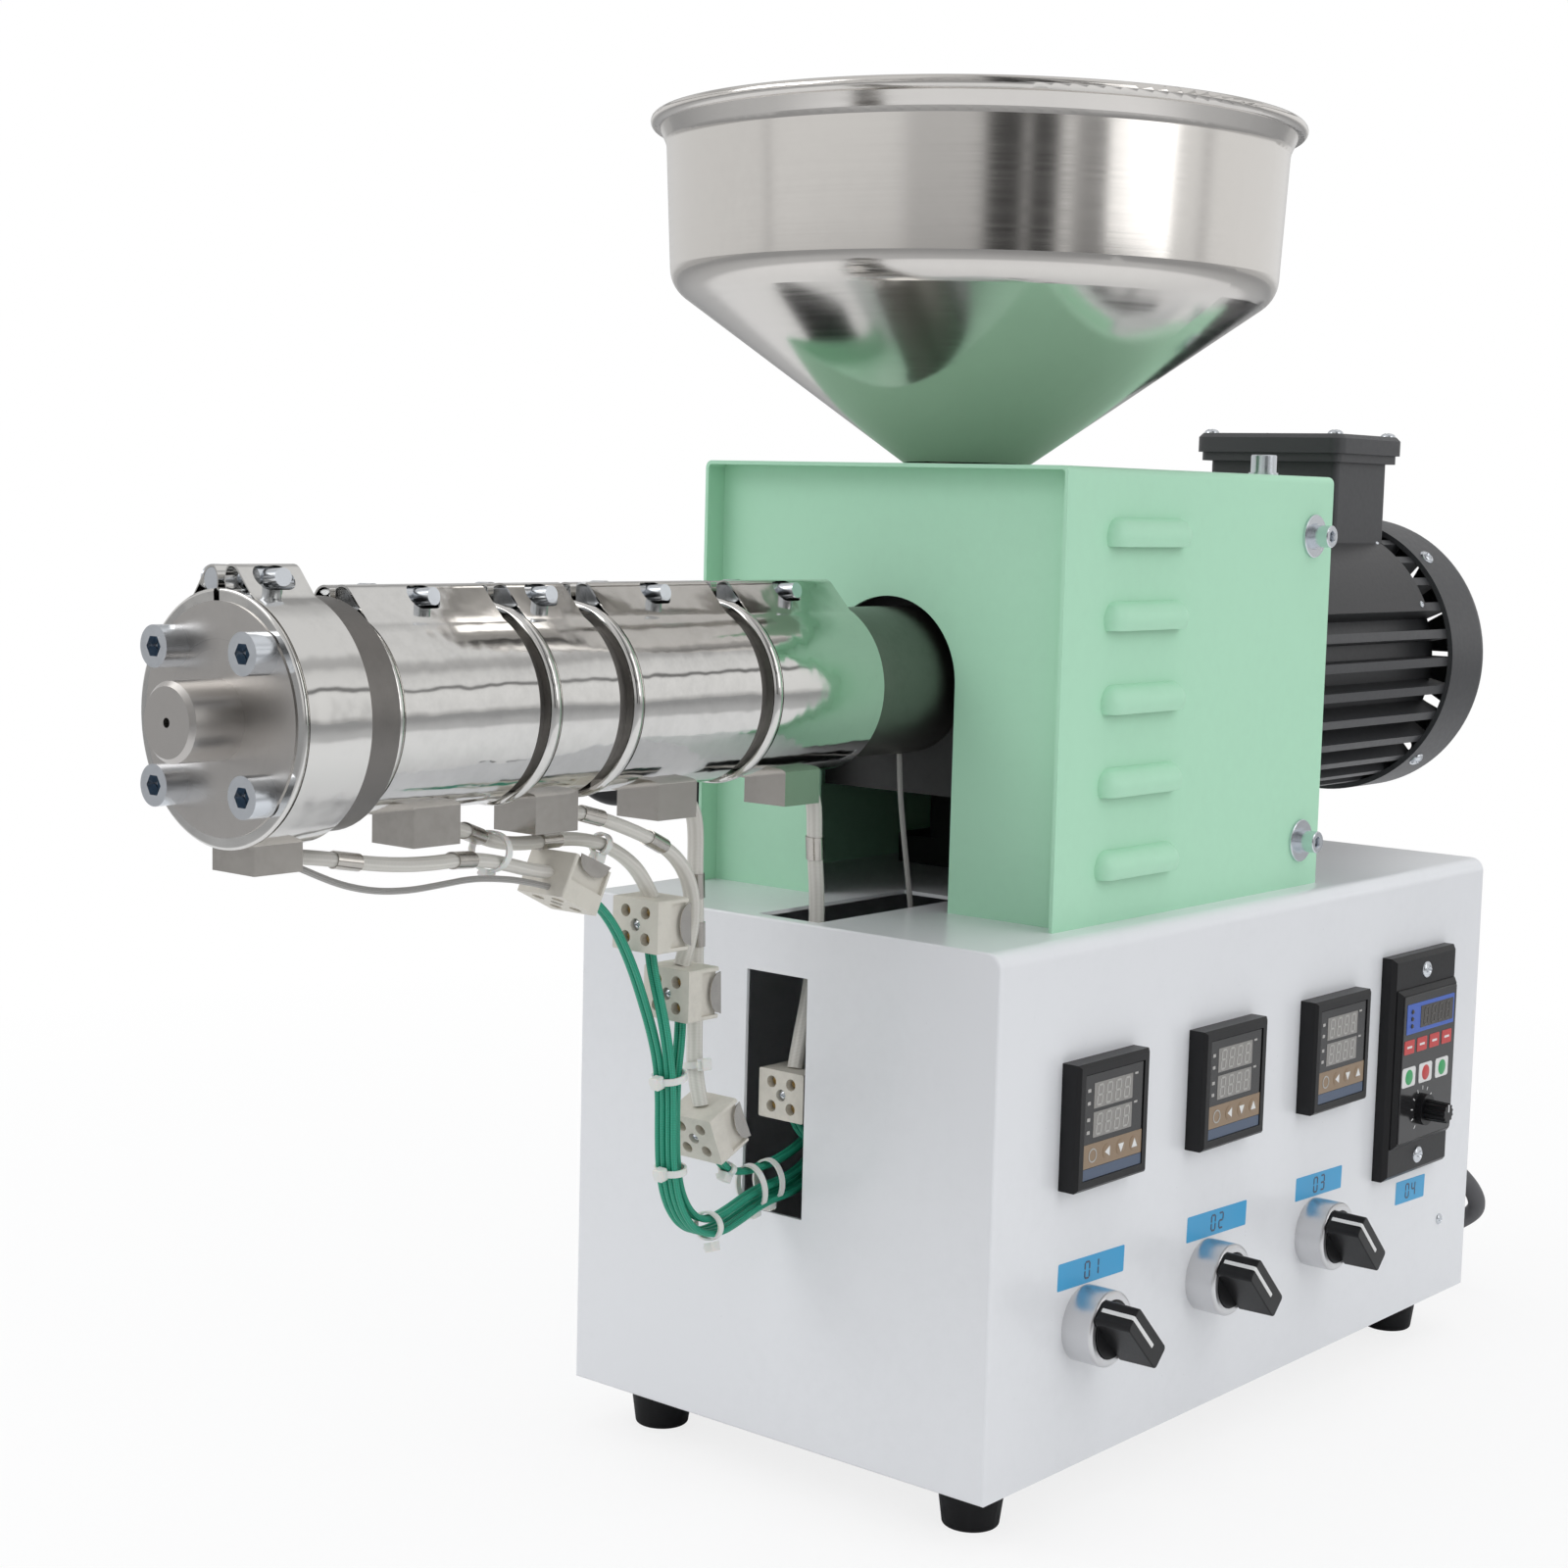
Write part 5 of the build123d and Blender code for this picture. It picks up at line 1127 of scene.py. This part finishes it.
    def labels(self):
        """Four adhesive strips with two plain numerals each, lying on the side panel."""
        out, up, thick = (1, 0, 0), (0, 0.03, 1), 0.14
        pile = Pile()
        for y, z, width, height, digit in STRIPS:
            pile.add(slab((SIDE_X, y, z), out, up, width, height, thick, 0.6, 0.05), 0)
            for shift, sign in ((-3, "0"), (3, digit)):
                numeral(pile, sign, (SIDE_X + thick, y + shift, z), out, up, 3.0, 6.2, 0.75, 1, 0)
        pile.finish("label_strips", ["label_blue", "strip_blue"], slot="cabinet_paint")


# Dressing of the leads and the rest


def station(points, share):
    """A point and the unit tangent at a share of a route's length."""
    line, _ = spline(points, 1.0)
    k = min(max(int(share * (len(line) - 1)), 1), len(line) - 2)
    return line[k], unit(line[k + 1] - line[k - 1])


def strap(pile, centre, axis, half_x, half_y, wide, thick, head=None):
    """A band round a bundle: an oval ring of width w and thickness t, with a square head at the angle head."""
    e1, e2 = basis(axis, (1, 0, 0))
    angle = np.linspace(0, 2 * np.pi, 28, endpoint=False)
    rings = [(0, -0.5), (1, -0.5), (1, 0.5), (0, 0.5)]
    grid = []
    for grow, shift in rings:
        a, b = half_x + grow * thick, half_y + grow * thick
        ring = np.cos(angle)[:, None] * a * e1 + np.sin(angle)[:, None] * b * e2
        grid.append(np.asarray(centre) + ring + shift * wide * unit(axis))
    pile.add(row(np.array(grid)), wrap_u=True, caps=False)
    if head is not None:
        out = e1 * math.cos(head) + e2 * math.sin(head)
        reach = half_x * abs(math.cos(head)) + half_y * abs(math.sin(head))
        pile.add(slab(np.asarray(centre) + out * (reach - 0.2), out, axis, 4.2, 4.6, 3.4, 0.6, 0.3))
        tail = np.cross(unit(axis), out)
        tip = np.asarray(centre) + out * (reach + 1.4) + tail * 2
        pile.add(slab(tip, tail, axis, 1.1, 2.4, 1.6, 0.3, 0.2))


# Ties: middle, direction of the bundle, half sizes across it and the turn of the head
TIES = [
    ((2.7, -62.2, 152), (0, 0.2, -0.98), 6.0, 5.4, 1.57),
    ((2.85, -60.7, 117.5), (0, 0.17, -0.99), 5.9, 4.2, 1.57),
    ((2.85, -39.5, 92.4), (0, 0.99, -0.1), 5.9, 4.6, 1.2),
    ((-0.2, -25.8, 110.9), (0, 0.87, -0.48), 2.9, 1.8, 1.57),
    ((1.8, -14, 101.8), (0, 1, 0.15), 6.4, 8.6, 1.57),
    ((1.8, -4, 102.6), (0, 1, 0.05), 6.4, 8.0, 1.57),
    ((-4, -93.1, 238.7), (0.09, 0.94, -0.33), 4.2, 3.3, 1.57),
    ((0, -150, 241.5), (0, 0.98, -0.2), 8.6, 6.2, 1.57),
    ((-3.4, -41.8, 152.2), (0.21, -0.08, -0.97), 4.0, 3.1, 0.2),
]

# Metal clips on the sleeved leads, by share of each lead's length
CLIPS = {
    "lead_die": (0.22, 0.62),
    "lead_1": (0.16, 0.5),
    "lead_2": (0.14, 0.45),
    "lead_3": (0.36, 0.5),
    "lead_4": (0.28,),
}

# The motor's plate: inner and outer radius, degrees round and millimetres along; the blower's wheel: middle and vanes
PLATE_RADII, PLATE_TURNS, PLATE_SPAN = (64.6, 65.0), (22, 62), (290.0, 402.0)
WHEEL_X, WHEEL_Y, WHEEL_Z, WHEEL_VANES = -126.6, 44.0, 264.8, 22


class EXTRUDER_OT_dressing(bpy.types.Operator):
    """Adds the clips and ties on the leads, the motor's plate and the blower's vanes"""

    bl_idname = "extruder.dressing"
    bl_label = "Extruder dressing"

    def execute(self, context):
        self.ferrules()
        self.ties()
        self.motor()
        self.blower()
        return {"FINISHED"}

    def ferrules(self):
        """Folded metal clips round the sleeves."""
        pile = Pile()
        for name, shares in CLIPS.items():
            for share in shares:
                centre, axis = station(LEADS[name], share)
                strap(pile, centre, axis, 3.5, 2.5, 9.0, 0.4)
        pile.finish("lead_ferrules", ["box_steel"], slot="band_steel")

    def ties(self):
        """Nylon ties round the bundles of leads."""
        pile = Pile()
        for centre, axis, half_x, half_y, head in TIES:
            strap(pile, np.array(centre), np.array(axis), half_x, half_y, 2.5, 0.8, head=head)
        pile.finish("cable_ties", ["tie_nylon"], slot="white_sleeve")

    def motor(self):
        """A bare rating plate bent to the fins: S(u, v) = axis + r (cos v, sin v) + u along the motor."""
        low, high = PLATE_RADII
        front, rear = PLATE_SPAN
        turn = np.radians(np.linspace(*PLATE_TURNS, 18))
        ring = []
        for y, r in ((front, low), (front, high), (rear, high), (rear, low)):
            ring.append(np.stack([r * np.cos(turn), np.full(18, y), AXIS_Z + r * np.sin(turn)], axis=1))
        pile = Pile()
        pile.add(np.swapaxes(row(np.array(ring)), 0, 1), 0)
        for v in (PLATE_TURNS[0] + 3, PLATE_TURNS[1] - 3):
            for y in (front + 4, rear - 4):
                out = (math.cos(math.radians(v)), 0, math.sin(math.radians(v)))
                pile.add(pan_head((high * out[0], y, AXIS_Z + high * out[2]), out, 1.6, 0.9, slots=1), 1)
        pile.finish("motor_plate", ["plate_dark", "zinc_steel"], slot="motor_paint")

    def blower(self):
        """A ring of curved vanes in the blower's mouth: each vane is r(u) turned by an angle that grows with r."""
        pile = Pile()
        for k in range(WHEEL_VANES):
            r = np.linspace(12, 21.5, 6)
            a = 2 * np.pi * k / WHEEL_VANES + (r - 12) * 0.03
            line = np.stack([WHEEL_X + r * np.cos(a), np.full(6, WHEEL_Y), WHEEL_Z + r * np.sin(a)], axis=1)
            side = np.stack([-np.sin(a), np.zeros(6), np.cos(a)], axis=1) * 0.45
            depth = np.array([0, 30.0, 0])
            grid = np.array([line - side, line + side, line + side + depth, line - side + depth])
            pile.add(row(np.swapaxes(grid, 0, 1)), 0)
        pile.finish("blower_vanes", ["black_plastic"], slot="black_plastic")


# Stage: tones by compass angle and height for mirrored rays, and by distance on the floor

AMBIENT = (0.70, 0.71, 0.73)
FLOOR_HALF = 6.0
FLOOR_REACH = 3.0
FLOOR_TONES = [(0.0, 0.90), (0.30, 0.88), (0.36, 0.55), (1.0, 0.45)]
ROOM_WALLS = [
    (-180, 0.90), (-168, 0.88), (-150, 0.62), (-110, 0.80), (-97, 0.80), (-46, 0.82), (-44, 0.45), (-42, 0.86),
    (8, 0.84), (14, 0.62), (38, 0.66), (41, 0.07), (52, 0.05), (54, 0.75), (56, 0.05), (65, 0.06), (67, 0.95),
    (70, 0.85), (73, 0.36), (90, 0.22), (93, 0.56), (102, 0.60), (106, 0.90), (123, 0.90), (127, 0.55), (131, 0.92),
    (180, 0.90),
]
ROOM_HEIGHTS = [
    (-1.0, 0.8), (-0.02, 0.6), (0.03, 0.95), (0.29, 1.0), (0.31, 0.18), (0.335, 0.20), (0.355, 0.95), (0.50, 0.85),
    (0.56, 0.55), (0.62, 0.6), (0.66, 0.9), (1.0, 0.9),
]

# Lights: name, place and aim in metres, width and height
LIGHTS = [
    ("key", (-1.1, -1.5, 1.6), (0, 0, 0.25), 1.4, 1.0),
    ("side", (1.6, 0.1, 1.1), (0, 0, 0.2), 0.9, 1.4),
    ("top", (0.0, 0.2, 2.0), (0, 0, 0.3), 1.6, 1.6),
]

# The photograph's camera: degrees of azimuth, elevation and roll, and its place in millimetres
CAMERA_TURNS = (39.94, 6.22, 1.46)
CAMERA_PLACE = (631.16, -752.61, 361.01)
SENSOR_WIDTH = 36.0


def ramp(tree, stops, share):
    """Grey tones at the given stops, read at a share."""
    node = tree.nodes.new("ShaderNodeValToRGB")
    marks = node.color_ramp.elements
    while len(marks) < len(stops):
        marks.new(1.0)
    for mark, (position, tone) in zip(marks, stops):
        mark.position = position
        mark.color = (tone, tone, tone, 1)
    feed(tree, node.inputs["Fac"], share)
    return node.outputs["Color"]


class EXTRUDER_OT_stage(bpy.types.Operator):
    """Sets the floor, the lights, the backdrop colour and the camera of the photograph"""

    bl_idname = "extruder.stage"
    bl_label = "Extruder stage"

    def execute(self, context):
        sizes = context.scene.extruder_stage
        mesh = bpy.data.meshes.new("floor")
        corners = [(x * FLOOR_HALF, y * FLOOR_HALF, 0) for x, y in ((-1, -1), (1, -1), (1, 1), (-1, 1))]
        mesh.from_pydata(corners, [], [(0, 1, 2, 3)])
        floor = bpy.data.objects.new("floor", mesh)
        context.scene.collection.objects.link(floor)
        floor.data.materials.append(self.floor_paint())
        context.scene.world = self.studio()
        powers = (sizes.key_power, sizes.fill_power, sizes.top_power)
        for (name, place, aim, width, height), power in zip(LIGHTS, powers):
            self.light(name, place, aim, width, height, power)
        self.camera(context.scene, sizes.lens)
        context.scene.view_settings.view_transform = "Standard"
        return {"FINISHED"}

    def floor_paint(self):
        """Pale floor: white to the camera away from the object, and dimmer far out for what metal mirrors."""
        item, tree, shade = paint("floor_paint")
        shade.inputs["Roughness"].default_value = 0.6
        length = tree.nodes.new("ShaderNodeVectorMath")
        length.operation = "LENGTH"
        feed(tree, length.inputs[0], coordinates(tree))
        far = length.outputs["Value"]
        tone = ramp(tree, FLOOR_TONES, maths(tree, "DIVIDE", far, FLOOR_REACH))
        feed(tree, shade.inputs["Base Color"], tone)
        clear = shader(tree, "MapRange", From_Min=0.25, From_Max=1.0, To_Min=0.80, To_Max=1.0, Value=far)
        seen = shader(tree, "LightPath").outputs["Is Camera Ray"]
        mixed = shader(tree, "MixShader", Fac=maths(tree, "MULTIPLY", seen, clear.outputs[0]))
        feed(tree, mixed.inputs[1], shade.outputs[0])
        feed(tree, mixed.inputs[2], shader(tree, "Emission").outputs[0])
        feed(tree, tree.nodes["Material Output"].inputs["Surface"], mixed.outputs[0])
        return item

    def studio(self):
        """White to the camera, even grey for light, and a room of pale walls and dark gaps for what metal mirrors."""
        world = bpy.data.worlds.new("studio")
        world.use_nodes = True
        tree = world.node_tree
        back = tree.nodes["Background"]
        back.inputs["Strength"].default_value = 1.0
        parts = separate(tree, coordinates(tree, "Generated"))
        turn = maths(tree, "ARCTAN2", parts["X"], maths(tree, "MULTIPLY", parts["Y"], -1.0))
        round_share = maths(tree, "ADD", maths(tree, "DIVIDE", turn, 2 * math.pi), 0.5)
        walls = ramp(tree, [((az + 180) / 360, tone) for az, tone in ROOM_WALLS], round_share)
        rise = maths(tree, "ADD", maths(tree, "MULTIPLY", parts["Z"], 0.5), 0.5)
        height = ramp(tree, [((up + 1) / 2, tone) for up, tone in ROOM_HEIGHTS], rise)
        colour = blend(tree, walls, height, 1.0, "MULTIPLY")
        seen = shader(tree, "LightPath").outputs
        for label, tone in (("Is Diffuse Ray", AMBIENT), ("Is Camera Ray", (1, 1, 1))):
            colour = blend(tree, colour, (*tone, 1), seen[label])
        feed(tree, back.inputs["Color"], colour)
        return world

    def light(self, name, place, aim, width, height, power):
        """A rectangular soft light aimed at a point."""
        data = bpy.data.lights.new(name, "AREA")
        data.shape = "RECTANGLE"
        data.size, data.size_y = width, height
        data.energy = power
        thing = bpy.data.objects.new(name, data)
        thing.location = place
        thing.rotation_euler = (Vector(place) - Vector(aim)).to_track_quat("Z", "Y").to_euler()
        thing.visible_glossy = name != "top"
        bpy.context.scene.collection.objects.link(thing)

    def camera(self, scene, lens):
        """The photograph's camera, from azimuth, elevation and roll."""
        a, e, r = (math.radians(turn) for turn in CAMERA_TURNS)
        back = Vector((math.sin(a) * math.cos(e), -math.cos(a) * math.cos(e), math.sin(e)))
        right = Vector((math.cos(a), math.sin(a), 0))
        up = back.cross(right)
        x = right * math.cos(r) + up * math.sin(r)
        y = up * math.cos(r) - right * math.sin(r)
        data = bpy.data.cameras.new("camera")
        data.lens = lens
        data.sensor_width = SENSOR_WIDTH
        data.clip_start, data.clip_end = 0.05, 30.0
        data.dof.use_dof = False
        thing = bpy.data.objects.new("camera", data)
        turn = Matrix((x, y, back)).transposed().to_4x4()
        thing.matrix_world = Matrix.Translation(Vector(row(CAMERA_PLACE))) @ turn
        scene.collection.objects.link(thing)
        scene.camera = thing


class EXTRUDER_PT_panel(bpy.types.Panel):
    """Buttons and settings of the extruder's looks"""

    bl_idname = "EXTRUDER_PT_panel"
    bl_label = "Extruder"
    bl_space_type = "VIEW_3D"
    bl_region_type = "UI"
    bl_category = "Extruder"

    def draw(self, context):
        for settings in (context.scene.extruder_leads, context.scene.extruder_stage):
            for label in settings.bl_rna.properties.keys():
                if label not in ("rna_type", "name"):
                    self.layout.prop(settings, label)
        for operator in OPERATORS:
            self.layout.operator(operator.bl_idname)


OPERATORS = (
    EXTRUDER_OT_materials, EXTRUDER_OT_bands, EXTRUDER_OT_leads, EXTRUDER_OT_fasteners, EXTRUDER_OT_controls,
    EXTRUDER_OT_dressing, EXTRUDER_OT_stage,
)
CLASSES = (ExtruderLeads, ExtruderStage, *OPERATORS, EXTRUDER_PT_panel)


def register():
    """Registers the classes and their settings."""
    for item in CLASSES:
        bpy.utils.register_class(item)
    bpy.types.Scene.extruder_leads = bpy.props.PointerProperty(type=ExtruderLeads)
    bpy.types.Scene.extruder_stage = bpy.props.PointerProperty(type=ExtruderStage)


def unregister():
    """Takes the settings and classes away again."""
    del bpy.types.Scene.extruder_stage
    del bpy.types.Scene.extruder_leads
    for item in reversed(CLASSES):
        bpy.utils.unregister_class(item)


def main():
    """Builds everything."""
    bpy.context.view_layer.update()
    register()
    bpy.ops.extruder.materials()
    bpy.ops.extruder.bands()
    bpy.ops.extruder.leads()
    bpy.ops.extruder.fasteners()
    bpy.ops.extruder.controls()
    bpy.ops.extruder.dressing()
    bpy.ops.extruder.stage()


if __name__ == "__main__":
    main()
